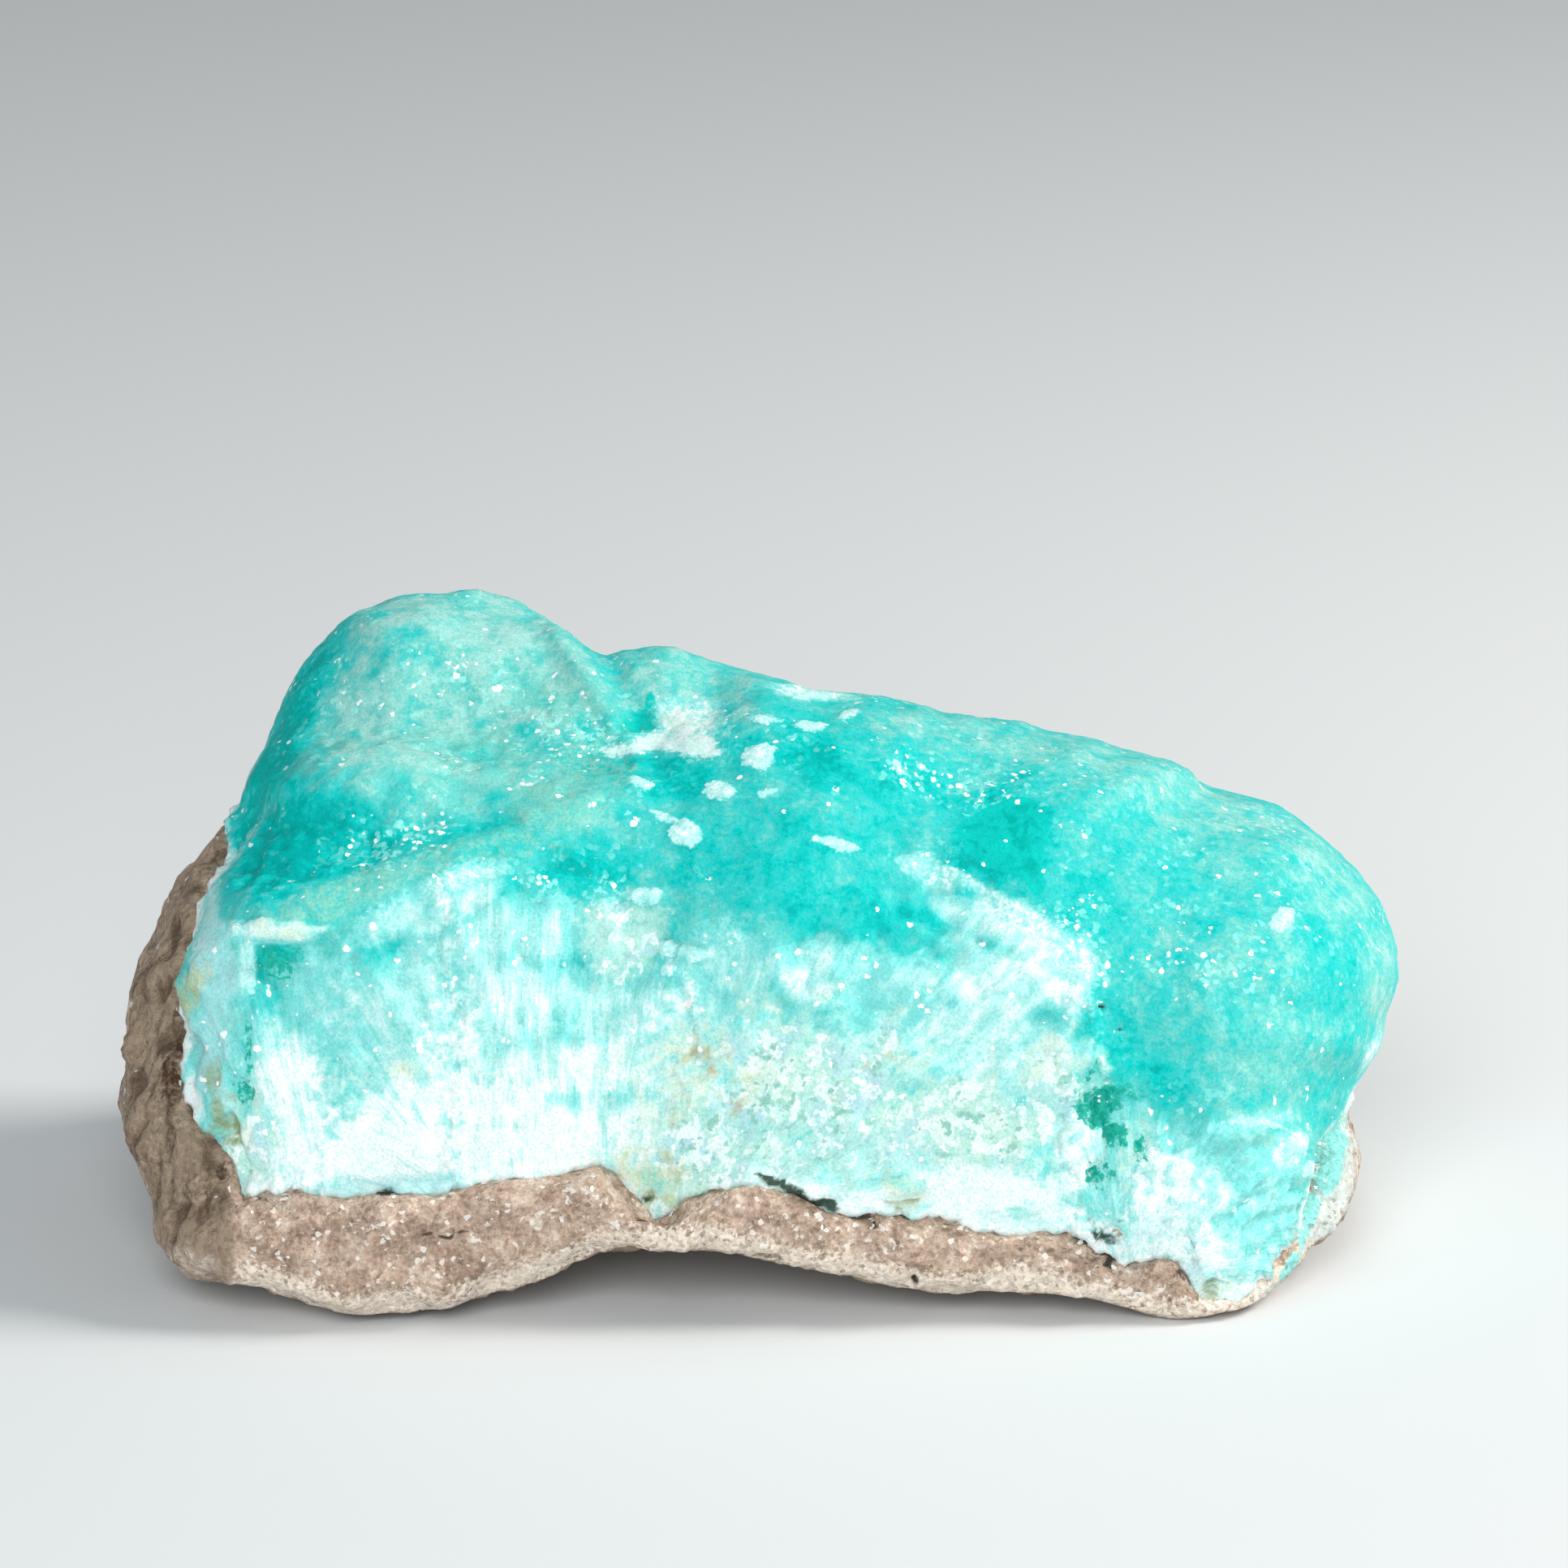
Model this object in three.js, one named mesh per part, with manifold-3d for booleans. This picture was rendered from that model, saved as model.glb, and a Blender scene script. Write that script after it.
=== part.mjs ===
// Raw smithsonite hand specimen: a thick turquoise botryoidal crust on a wedge of brown carbonate rock.
// Millimetres. X runs along the specimen, -Y is its broken front, Z is up, and it stands on z = 0.
import * as THREE from "three";
import { ImprovedNoise } from "three/addons/math/ImprovedNoise.js";
import { mergeVertices } from "three/addons/utils/BufferGeometryUtils.js";
import Module from "manifold-3d";

const wasm = await Module();
wasm.setup();

// Driving dimensions.
const GAP = 0.3; // clearance between the rock and the crust that sits on it
const PLATEAU = 9; // height of the rock's top under the middle of the crust
const SHELF = 8; // how far in from the rim the rock's top reaches that height
const SOCKET = 1; // how far the crust reaches down inside the rock before the rock is cut out of it
const BLEND = 2.2; // width of the crease between two lumps of the crust
const BREAK_EDGE = 1.3; // width over which the skin rounds into a broken face
const ARCH_END = 30; // how far back the arch under the rock runs at full height
const VAULT = 1.15; // how much higher the arch is inside than at its front mouth
const REAR_UNDERSIDE = 0.9; // height of the rock's underside behind the arch

// How finely each skin is divided, and the part of the unit sphere that becomes the rock's side wall.
const CRUST_DETAIL = 17;
const ROCK_DETAIL = 13;
const WALL_TOP = Math.cos(THREE.MathUtils.degToRad(62));
const WALL_BOTTOM = Math.cos(THREE.MathUtils.degToRad(106));

// The line inside the crust that its skin is measured out from: its middle and half its length.
const CORE = new THREE.Vector3(0, 24, 17);
const CORE_HALF = 23;
const REACH = 60; // longer than any way from that line to the skin

// The rock's outline seen from above, counter-clockwise from the right end: x, y.
const ROCK_CENTRE = new THREE.Vector2(-1, 23);
const ROCK_OUTLINE = [
  [40.7, 22], [38.8, 32], [31, 40], [14, 43.5], [-3, 46.5], [-20, 47.8], [-33, 43.5], [-40.8, 31],
  [-42.4, 20], [-40, 9.5], [-35.8, 2], [-28, 0], [-18, 0.2], [-8, 0.4], [4, 0.8], [14, 1], [24, 0.8],
  [30, 1.4], [33.6, 3.4], [37, 8], [40, 15],
];

// Height of the line where crust meets rock, along the front: x, z.
const FRONT_RIM = [
  [-34.5, 8.9], [-27.2, 8.6], [-19.8, 9], [-15.4, 9.7], [-10.2, 10.5], [-7.9, 8.2], [-6.6, 7.1], [-4.5, 8.3],
  [-0.3, 9.4], [2.9, 8.6], [5.7, 7.2], [9.5, 7.4], [14.1, 6.1], [19.9, 6.2], [21.4, 5.2], [23.5, 4],
  [26.4, 4.4], [28.4, 1.7], [29.6, 0.9],
];
// The same line from the right front corner round the back to the left one: degrees round the centre, z.
const REAR_RIM = [
  [-33, 0.9], [-24, 3.4], [-12, 7], [0, 8.5], [19, 9.5], [50, 11.5], [90, 12], [125, 14], [146, 19],
  [163, 25], [176, 26.8], [184, 25], [196, 18], [204, 12.2], [212, 8.9],
];
const RIGHT_CORNER = REAR_RIM[0][0];
const LEFT_CORNER = REAR_RIM.at(-1)[0];

// Height of the rock's underside along X, under the low arch between its feet: x, z.
const ARCH = [
  [-36, 2.2], [-32.4, 1.8], [-27.3, 0.4], [-21, 0.4], [-18, 1.2], [-15, 2.2], [-12.3, 3.4], [-10.7, 4.6],
  [-8, 5], [-1.2, 4.7], [1.4, 3.5], [5.5, 2.3], [12.3, 0.9], [19, 0.8], [22.2, 0.6], [25.7, 0.2], [34, 0.7],
  [40, 2.4],
];
// Feet, each worn to one flat pad on z = 0: centre x, centre y, radius.
const FEET = [[-24, 4, 5.5], [28.5, 5, 4.5], [-25, 38, 7], [22, 37, 7]];
const FOOT_DEPTH = 3;

// Lumps of the crust: centre, radii.
const LUMPS = [
  { name: "right end", at: [29, 24, 15], radii: [13.7, 19, 13.5] },
  { name: "right foot", at: [28, 13, 4], radii: [9.7, 12, 12] },
  { name: "right lobe", at: [17, 24, 9], radii: [20, 21.5, 24] },
  { name: "middle", at: [2, 24, 9], radii: [22, 22, 26.6] },
  { name: "left body", at: [-21, 22, 10], radii: [19, 21, 22] },
  { name: "left foot", at: [-26, 13, 11], radii: [12, 12.5, 14] },
  { name: "left bulge", at: [-29.8, 15, 20.5], radii: [7.6, 8.5, 8.5] },
  { name: "left shoulder", at: [-27.4, 27, 23], radii: [8.7, 10, 9.3] },
  { name: "second lobe", at: [-25, 19.5, 25.5], radii: [8, 7.5, 8] },
  { name: "rear body", at: [-22, 30, 12], radii: [17.5, 16.5, 16] },
  { name: "rear knob", at: [-21.3, 34.5, 28], radii: [11.2, 10.6, 12.4] },
  { name: "saddle bump", at: [-6.5, 29, 31], radii: [6, 6, 6.4] },
];
// The long swelling along the top of the broken front: its two ends and its radius.
const FRONT_RIDGE = { from: [-32, 10, 19.5], to: [-11, 15.5, 25], radius: 6.3 };
// Hollows in the crust: centre, radius.
const PITS = [
  { name: "saddle notch", at: [-8.5, 20.5, 34.5], radius: 3.2 },
  { name: "window", at: [-31.3, 4.6, 22.7], radius: 2.6 },
  { name: "foot recess", at: [22.3, 0.8, 8.2], radius: 2.8 },
];

const noise = new ImprovedNoise();

// Smooth noise from about -1 to 1, with features of the given size.
function rough(point, size, seed) {
  return noise.noise(point.x / size + seed, point.y / size - seed, point.z / size + 2 * seed);
}

// Eases from 0 at the first edge to 1 at the second.
function ease(from, to, value) {
  const t = THREE.MathUtils.clamp((value - from) / (to - from), 0, 1);
  return t * t * (3 - 2 * t);
}

// Reads a value off a list of [position, value] pairs, eased between neighbours.
function along(list, position) {
  if (position <= list[0][0]) return list[0][1];
  for (let i = 1; i < list.length; i += 1) {
    const [start, low] = list[i - 1];
    const [end, high] = list[i];
    if (position <= end) return THREE.MathUtils.lerp(low, high, ease(start, end, position));
  }
  return list.at(-1)[1];
}

const outline = new THREE.CatmullRomCurve3(
  ROCK_OUTLINE.map(([x, y]) => new THREE.Vector3(x, y, 0)),
  true,
);

// Height of the rock's rim at a point of its outline.
function rimHeight(x, y) {
  const angle = Math.atan2(y - ROCK_CENTRE.y, x - ROCK_CENTRE.x);
  const degrees = THREE.MathUtils.radToDeg(angle);
  const bearing = degrees < RIGHT_CORNER ? degrees + 360 : degrees;
  return bearing <= LEFT_CORNER ? along(REAR_RIM, bearing) : along(FRONT_RIM, x);
}

function undersideHeight(x, y) {
  const mouth = along(ARCH, x) * THREE.MathUtils.lerp(1, VAULT, ease(3, 9, y));
  const arch = THREE.MathUtils.lerp(mouth, REAR_UNDERSIDE, ease(ARCH_END, ARCH_END + 10, y));
  let height = arch + 0.35 * rough({ x, y, z: 0 }, 7, 3);
  for (const [footX, footY, radius] of FEET) {
    const away = Math.hypot(x - footX, y - footY) / radius;
    height -= FOOT_DEPTH * (1 - ease(0.6, 1.3, away));
  }
  return Math.max(height, 0);
}

// The rock's top, a shelf that comes down or up from the rim to the plateau.
function topHeight(x, y, rim, fromRim) {
  const shelf = THREE.MathUtils.lerp(rim, PLATEAU, ease(0, SHELF, fromRim));
  return shelf + 0.5 * ease(0, SHELF / 2, fromRim) * rough({ x, y, z: 0 }, 6, 7);
}

// The rock's skin for one direction of a unit sphere: its cap is the top, its belt the side wall.
function rockPoint(direction) {
  const turn = Math.atan2(direction.y, direction.x) / (2 * Math.PI);
  const edge = outline.getPointAt((turn + 1) % 1);
  const outward = new THREE.Vector2(edge.x - ROCK_CENTRE.x, edge.y - ROCK_CENTRE.y);
  const radius = outward.length();
  outward.normalize();
  const inward = (inset) => [edge.x - outward.x * inset, edge.y - outward.y * inset];
  const rim = rimHeight(edge.x, edge.y);
  // The wall leans in towards a high rim, and its lower edge is bevelled.
  const lean = 0.6 + 0.0195 * Math.max(rim - PLATEAU, 0) ** 2;
  const bevel = 1.3 + 0.05 * rim;

  if (direction.z >= WALL_TOP) {
    const share = Math.sqrt((1 - direction.z) / (1 - WALL_TOP));
    const fromRim = (radius - lean) * (1 - share);
    const [x, y] = inward(lean + fromRim);
    return new THREE.Vector3(x, y, topHeight(x, y, rim, fromRim));
  }
  if (direction.z <= WALL_BOTTOM) {
    const share = Math.sqrt((1 + direction.z) / (1 + WALL_BOTTOM));
    const [x, y] = inward(bevel + (radius - bevel) * (1 - share));
    return new THREE.Vector3(x, y, undersideHeight(x, y));
  }
  const down = (WALL_TOP - direction.z) / (WALL_TOP - WALL_BOTTOM);
  const z = THREE.MathUtils.lerp(rim, undersideHeight(...inward(bevel)), down);
  const inset = lean * Math.max(1 - down / 0.45, 0) ** 1.6 + bevel * ease(0.7, 1, down) ** 1.5;
  const [x, y] = inward(inset);
  const place = { x, y, z };
  const relief = 1.2 * rough(place, 9, 11) + 0.6 * rough(place, 3.6, 13);
  const swell = relief * Math.sqrt(Math.sin(Math.PI * down));
  return new THREE.Vector3(x + outward.x * swell, y + outward.y * swell, z);
}

// Distance to an ellipsoid, near enough close to its skin.
function lumpDistance(point, lump) {
  const radii = new THREE.Vector3(...lump.radii);
  const scaled = point.clone().sub(new THREE.Vector3(...lump.at)).divide(radii);
  const size = scaled.length();
  const slope = scaled.divide(radii).length();
  return slope > 0 ? (size * (size - 1)) / slope : -Math.min(...lump.radii);
}

function ridgeDistance(point, ridge) {
  const line = new THREE.Line3(new THREE.Vector3(...ridge.from), new THREE.Vector3(...ridge.to));
  const nearest = line.closestPointToPoint(point, true, new THREE.Vector3());
  return nearest.distanceTo(point) - ridge.radius;
}

// Joins two distances with a crease of the given width, or cuts the first by the second.
function blendUnion(a, b, width) {
  const h = Math.max(width - Math.abs(a - b), 0) / width;
  return Math.min(a, b) - (h * h * width) / 4;
}

function blendCut(a, b, width) {
  return -blendUnion(-a, -b, width);
}

// The broken front face leans back from its foot and is ribbed by bundles of fibres.
function brokenFront(x, z) {
  const bundles = rough({ x, y: 0, z: z / 4 }, 2.6, 17);
  return 1.5 + 0.28 * (z - 8) + 0.5 * bundles;
}

// The crust's broken rear follows the back of the rock.
function brokenRear(x, z) {
  return 43.7 - 0.127 * x - 0.1 * (z - 10) + 0.6 * rough({ x, y: 0, z }, 8, 19);
}

function crustFloor(x, y) {
  return THREE.MathUtils.lerp(along(FRONT_RIM, x), PLATEAU, ease(3, 11, y)) - SOCKET;
}

// Negative inside the crust, positive outside it.
function crustDistance(point) {
  let distance = ridgeDistance(point, FRONT_RIDGE);
  for (const lump of LUMPS) distance = blendUnion(distance, lumpDistance(point, lump), BLEND);
  distance = blendCut(distance, brokenFront(point.x, point.z) - point.y, BREAK_EDGE);
  distance = blendCut(distance, point.y - brokenRear(point.x, point.z), BREAK_EDGE);
  for (const pit of PITS) {
    const fromPit = point.distanceTo(new THREE.Vector3(...pit.at));
    distance = blendCut(distance, pit.radius - fromPit, BREAK_EDGE);
  }
  distance += 0.4 * rough(point, 6, 5) + 0.25 * rough(point, 3, 9);
  return blendCut(distance, crustFloor(point.x, point.y) - point.z, 0.5);
}

// The crust's skin for one direction of a unit sphere, found from outside inwards, then halved in on.
function crustPoint(direction) {
  const origin = CORE.clone().setX(CORE_HALF * direction.x);
  const at = (distance) => origin.clone().addScaledVector(direction, distance);
  let outside = REACH;
  while (crustDistance(at(outside)) > 0) outside -= 1;
  let inside = outside;
  outside += 1;
  for (let i = 0; i < 12; i += 1) {
    const middle = (inside + outside) / 2;
    if (crustDistance(at(middle)) < 0) inside = middle;
    else outside = middle;
  }
  return at(inside);
}

// An icosahedron's skin, each corner moved to where the shape function puts it.
function shapedSkin(detail, shape) {
  const skin = new THREE.IcosahedronGeometry(1, detail);
  skin.deleteAttribute("normal");
  skin.deleteAttribute("uv");
  const merged = mergeVertices(skin);
  const { position } = merged.attributes;
  const direction = new THREE.Vector3();
  for (let i = 0; i < position.count; i += 1) {
    direction.fromBufferAttribute(position, i).normalize();
    position.setXYZ(i, ...shape(direction));
  }
  return merged;
}

// A copy whose skin has moved outwards by a distance.
function grown(geometry, distance) {
  const copy = geometry.clone();
  copy.computeVertexNormals();
  const { position, normal } = copy.attributes;
  const corner = new THREE.Vector3();
  const out = new THREE.Vector3();
  for (let i = 0; i < position.count; i += 1) {
    corner.fromBufferAttribute(position, i);
    corner.addScaledVector(out.fromBufferAttribute(normal, i), distance);
    position.setXYZ(i, ...corner);
  }
  copy.deleteAttribute("normal");
  return copy;
}

function toSolid(geometry) {
  const mesh = new wasm.Mesh({
    numProp: 3,
    vertProperties: new Float32Array(geometry.attributes.position.array),
    triVerts: new Uint32Array(geometry.index.array),
  });
  return new wasm.Manifold(mesh);
}

function toGeometry(solid) {
  const mesh = solid.getMesh();
  const geometry = new THREE.BufferGeometry();
  geometry.setAttribute("position", new THREE.BufferAttribute(mesh.vertProperties, mesh.numProp));
  geometry.setIndex(new THREE.BufferAttribute(mesh.triVerts, 1));
  return geometry;
}

function namedMesh(name, geometry, color, roughness) {
  geometry.computeVertexNormals();
  const mesh = new THREE.Mesh(geometry, new THREE.MeshStandardMaterial({ color, roughness, metalness: 0 }));
  mesh.name = name;
  return mesh;
}

const rock = shapedSkin(ROCK_DETAIL, rockPoint);
const crust = toGeometry(toSolid(shapedSkin(CRUST_DETAIL, crustPoint)).subtract(toSolid(grown(rock, GAP))));

// The origin goes under the middle of the whole specimen, on the surface it stands on.
const extent = new THREE.Box3().setFromBufferAttribute(rock.attributes.position);
extent.union(new THREE.Box3().setFromBufferAttribute(crust.attributes.position));
const middle = extent.getCenter(new THREE.Vector3());
for (const geometry of [rock, crust]) geometry.translate(-middle.x, -middle.y, -extent.min.z);

const group = new THREE.Group();
group.add(namedMesh("matrix_rock", rock, "#b9a28c", 0.95));
group.add(namedMesh("smithsonite_crust", crust, "#4fd6cc", 0.45));

export default group;
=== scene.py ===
"""Looks of a raw smithsonite hand specimen: a turquoise crust of smithsonite, broken open at the front,
grown on a bed of brown carbonate rock.

Lengths are in millimetres, and are turned to metres when a mesh is written. The front faces -Y.
"""
import math

import bpy
import numpy as np
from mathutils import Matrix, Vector
from mathutils.bvhtree import BVHTree


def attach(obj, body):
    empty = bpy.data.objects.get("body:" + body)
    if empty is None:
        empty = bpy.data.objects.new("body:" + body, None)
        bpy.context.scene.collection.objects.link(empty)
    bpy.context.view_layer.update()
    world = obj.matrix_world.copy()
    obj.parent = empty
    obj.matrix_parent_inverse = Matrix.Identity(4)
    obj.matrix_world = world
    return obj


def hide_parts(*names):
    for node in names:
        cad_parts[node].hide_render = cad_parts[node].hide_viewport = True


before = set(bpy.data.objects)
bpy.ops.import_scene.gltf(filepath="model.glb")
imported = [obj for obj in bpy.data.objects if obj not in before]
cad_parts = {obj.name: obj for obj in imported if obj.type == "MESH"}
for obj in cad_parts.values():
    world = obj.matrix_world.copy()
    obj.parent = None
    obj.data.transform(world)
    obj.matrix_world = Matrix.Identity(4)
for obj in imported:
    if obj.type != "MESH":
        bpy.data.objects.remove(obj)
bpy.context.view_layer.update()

MM = 0.001

# ---------------------------------------------------------------- camera, in millimetres and pixels

FRAME_SIDE = 1932
CAMERA_AT = np.array([0.1, -510.6, 177.8])
CAMERA_DOWN = math.radians(16.18)
CAMERA_TURN = math.radians(0.19)
LENS_PIXELS = 9890.0
SENSOR = 36.0
# The nearest and farthest that the camera sees, in metres.
CAMERA_SIGHT = (0.01, 20.0)
# How many pixels a millimetre covers on the front of the specimen.
PIXELS_PER_MM = 19.0

LOOK = np.array([
    math.sin(CAMERA_TURN) * math.cos(CAMERA_DOWN),
    math.cos(CAMERA_TURN) * math.cos(CAMERA_DOWN),
    -math.sin(CAMERA_DOWN),
])
RIGHT = np.array([math.cos(CAMERA_TURN), -math.sin(CAMERA_TURN), 0.0])
UP = np.cross(RIGHT, LOOK)


def add_camera():
    data = bpy.data.cameras.new("specimen_camera")
    data.sensor_width = SENSOR
    data.lens = LENS_PIXELS / FRAME_SIDE * SENSOR
    data.clip_start, data.clip_end = CAMERA_SIGHT
    camera = bpy.data.objects.new("specimen_camera", data)
    camera.location = Vector(CAMERA_AT * MM)
    camera.rotation_euler = (math.pi / 2 - CAMERA_DOWN, 0.0, -CAMERA_TURN)
    bpy.context.collection.objects.link(camera)
    bpy.context.scene.camera = camera


def pixels_of(points):
    """Where points fall in the camera's frame: pixels right and down, and millimetres for a pixel there."""
    away = points - CAMERA_AT
    depth = away @ LOOK
    across = FRAME_SIDE / 2 + LENS_PIXELS * (away @ RIGHT) / depth
    down = FRAME_SIDE / 2 - LENS_PIXELS * (away @ UP) / depth
    return np.stack([across, down], 1), depth / LENS_PIXELS


def facing(points, normals):
    """How far each point's skin is turned to the camera, from -1 to 1."""
    to_camera = CAMERA_AT - points
    return np.sum(normals * to_camera, axis=1) / np.linalg.norm(to_camera, axis=1)


# ---------------------------------------------------------------- outlines and lines, in pixels

OUTLINE = [
    (270, 1011), (286, 1001), (298, 970), (314, 942), (334, 899), (352, 853), (378, 810), (403, 784),
    (429, 756), (467, 742), (505, 728), (548, 730), (574, 723), (607, 727), (633, 733), (659, 750),
    (684, 763), (710, 781), (733, 806), (779, 800), (804, 795), (835, 797), (855, 805), (898, 819),
    (957, 835), (1001, 850), (1052, 853), (1095, 858), (1129, 866), (1167, 877), (1218, 884), (1248, 885),
    (1299, 900), (1344, 906), (1388, 921), (1426, 929), (1461, 944), (1482, 959), (1502, 972),
    (1552, 976), (1579, 991), (1608, 1010), (1631, 1029), (1661, 1055), (1684, 1082), (1702, 1108),
    (1719, 1149), (1722, 1179), (1724, 1205), (1719, 1231), (1708, 1252), (1702, 1270), (1708, 1284),
    (1693, 1311), (1683, 1314), (1667, 1360), (1665, 1385), (1680, 1408), (1678, 1429), (1671, 1459),
    (1665, 1485), (1644, 1520), (1616, 1542), (1596, 1564), (1552, 1606), (1501, 1622), (1450, 1629),
    (1424, 1626), (1358, 1606), (1297, 1597), (1217, 1592), (1169, 1596), (1125, 1590), (1077, 1582),
    (1039, 1573), (962, 1558), (911, 1546), (875, 1541), (832, 1543), (781, 1540), (730, 1547),
    (699, 1567), (648, 1587), (592, 1602), (540, 1616), (454, 1623), (415, 1619), (362, 1604),
    (316, 1588), (239, 1583), (209, 1555), (188, 1522), (183, 1466), (171, 1443), (153, 1402),
    (145, 1351), (149, 1319), (155, 1242), (160, 1217), (173, 1173), (191, 1140), (213, 1084),
    (267, 1025),
]
OUTLINE_CENTRE = (930, 1190)
# Where the crust meets the rock, from the left to the right.
CONTACT = [
    (275, 1451), (293, 1468), (364, 1463), (415, 1470), (472, 1467), (538, 1470), (556, 1463),
    (597, 1454), (640, 1450), (699, 1445), (740, 1436), (758, 1450), (783, 1478), (806, 1498),
    (819, 1495), (849, 1476), (893, 1463), (929, 1456), (962, 1466), (990, 1471), (1018, 1490),
    (1044, 1495), (1074, 1489), (1115, 1493), (1153, 1499), (1189, 1506), (1204, 1516), (1258, 1520),
    (1281, 1515), (1314, 1512), (1342, 1531), (1365, 1540), (1383, 1554), (1414, 1549), (1437, 1544),
    (1452, 1554), (1460, 1574), (1475, 1595), (1490, 1605), (1549, 1606),
]
# The upper edge of the broken face, below which the fibres show.
BREAK_LINE = [
    (225, 1190), (262, 1175), (300, 1150), (385, 1160), (430, 1150), (480, 1128), (540, 1098),
    (600, 1088), (660, 1105), (720, 1120), (780, 1105), (830, 1150), (900, 1165), (960, 1160),
    (1010, 1150), (1080, 1120), (1140, 1080), (1240, 1130), (1300, 1190), (1340, 1235), (1345, 1290),
    (1360, 1340), (1430, 1365), (1500, 1375), (1560, 1405), (1620, 1470), (1700, 1560),
]

# ---------------------------------------------------------------- noise, by the size of its features

TABLE = 4096
CELL_PRIMES = (73856093, 19349663, 83492791)
SEED_PRIME = 2654435761
MIXING_PRIME = 1274126177
# Where the two grids of cells start, in cells, and what brings the waves to about -1 to 1.
WAVES_START = 31.7
GRAINS_START = 17.3
WAVES_GAIN = 1.7
table_rng = np.random.default_rng(1932)
LATTICE = table_rng.normal(size=(TABLE, 3))
LATTICE /= np.linalg.norm(LATTICE, axis=1, keepdims=True)
SCATTER = table_rng.random((TABLE, 4))


def slots_of(cells, seed):
    """A slot of the tables for each cell of a grid."""
    mixed = np.bitwise_xor.reduce(cells * CELL_PRIMES, axis=1) ^ seed * SEED_PRIME
    mixed = (mixed ^ (mixed >> 13)) * MIXING_PRIME
    return (mixed ^ (mixed >> 16)) & (TABLE - 1)


def waves(points, size, seed):
    """Smooth noise from about -1 to 1."""
    places = points / size + WAVES_START
    cells = np.floor(places).astype(np.int64)
    inside = places - cells
    fade = inside ** 3 * (inside * (inside * 6 - 15) + 10)
    total = np.zeros(len(points))
    for corner in np.ndindex(2, 2, 2):
        weight = np.prod(np.where(corner, fade, 1 - fade), axis=1)
        slope = LATTICE[slots_of(cells + corner, seed)]
        total += weight * np.sum(slope * (inside - corner), axis=1)
    return total * WAVES_GAIN


def swells(points, *parts):
    """Noises added up. A part is its strength, its size, its seed and how many layers it has, each half as
    coarse and half as strong as the one before it."""
    return sum(strength * sum(waves(points, size / 2 ** i, seed + i) / 2 ** i for i in range(layers))
               for strength, size, seed, layers in parts)


def grains(points, size, seed, crown, step):
    """The relief of packed grains: each is crowned, and stands out or in by a step of its own."""
    places = points / size + GRAINS_START
    cells = np.floor(places).astype(np.int64)
    nearest = np.full(len(points), np.inf)
    number = np.zeros(len(points))
    for corner in np.ndindex(3, 3, 3):
        cell = cells + corner - 1
        scatter = SCATTER[slots_of(cell, seed)]
        distance = np.linalg.norm(places - cell - scatter[:, :3], axis=1)
        closer = distance < nearest
        nearest[closer] = distance[closer]
        number[closer] = scatter[closer, 3]
    return crown * (0.5 - nearest) + step * (number - 0.5)


def ease(low, high, value):
    """0 below low, 1 above high and smooth between; it falls where low is above high."""
    t = np.clip((value - low) / (high - low), 0, 1)
    return t * t * (3 - 2 * t)


# ---------------------------------------------------------------- places in the camera's frame

# A soft spot starts this many half widths out from its middle, and is full inside the second.
SPOT_EDGE = (1.5, 0.4)
# How many pixels the edge of a sharp patch takes on either side.
PATCH_EDGE = 11.0


def spots(pixels, places, fray):
    """How strongly soft spots cover each point. A spot is its pixel, half widths, turn and strength."""
    cover = np.zeros(len(pixels))
    for across, down, half_long, half_wide, turn, strength in places:
        c, s = math.cos(math.radians(turn)), math.sin(math.radians(turn))
        right, low = pixels[:, 0] - across, pixels[:, 1] - down
        along = (right * c + low * s) / half_long
        aside = (low * c - right * s) / half_wide
        cover = np.maximum(cover, strength * ease(*SPOT_EDGE, np.hypot(along, aside) + fray))
    return cover


def heaped(pixels, places, fray):
    """As spots, but where they overlap their strengths add up."""
    return sum(spots(pixels, [place], fray) for place in places)


def line_distance(pixels, line):
    """The distance in pixels to a line through points."""
    nearest = np.full(len(pixels), np.inf)
    for start, end in zip(np.array(line[:-1], float), np.array(line[1:], float)):
        run = end - start
        share = np.clip((pixels - start) @ run / (run @ run), 0, 1)
        gap = np.linalg.norm(pixels - start - share[:, None] * run, axis=1)
        nearest = np.minimum(nearest, gap)
    return nearest


def patches(pixels, shapes):
    """How far inside sharp-edged patches each point lies: a half on their edges, and up to 1 inside."""
    cover = np.zeros(len(pixels))
    for shape in shapes:
        corners = np.array(shape, float)
        low, high = corners.min(0) - PATCH_EDGE, corners.max(0) + PATCH_EDGE
        near = np.all((pixels > low) & (pixels < high), axis=1)
        close = pixels[near]
        inside = np.zeros(len(close), bool)
        for start, end in zip(corners, np.roll(corners, -1, axis=0)):
            crosses = (start[1] > close[:, 1]) != (end[1] > close[:, 1])
            slope = (end[0] - start[0]) / (end[1] - start[1] or 1.0)
            inside ^= crosses & (close[:, 0] < start[0] + (close[:, 1] - start[1]) * slope)
        gap = line_distance(close, shape + shape[:1]) / (2 * PATCH_EDGE)
        cover[near] = np.maximum(cover[near], np.clip(0.5 + np.where(inside, gap, -gap), 0, 1))
    return cover


def height_on(line, across):
    """How far down a line lies at each place across."""
    return np.interp(across, [p[0] for p in line], [p[1] for p in line])


# ---------------------------------------------------------------- meshes

# Points of a faceted solid closer than this, in metres, become one.
WELD = 1e-6


def read(layer, key, width, kind=float):
    """What every item of one of a mesh's layers holds, as rows of numbers."""
    flat = np.empty(len(layer) * width, kind)
    layer.foreach_get(key, flat)
    return flat.reshape(-1, width)


def read_points(mesh):
    return read(mesh.vertices, "co", 3) / MM


def write_points(mesh, points):
    mesh.vertices.foreach_set("co", (points * MM).ravel())
    mesh.update()


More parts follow.
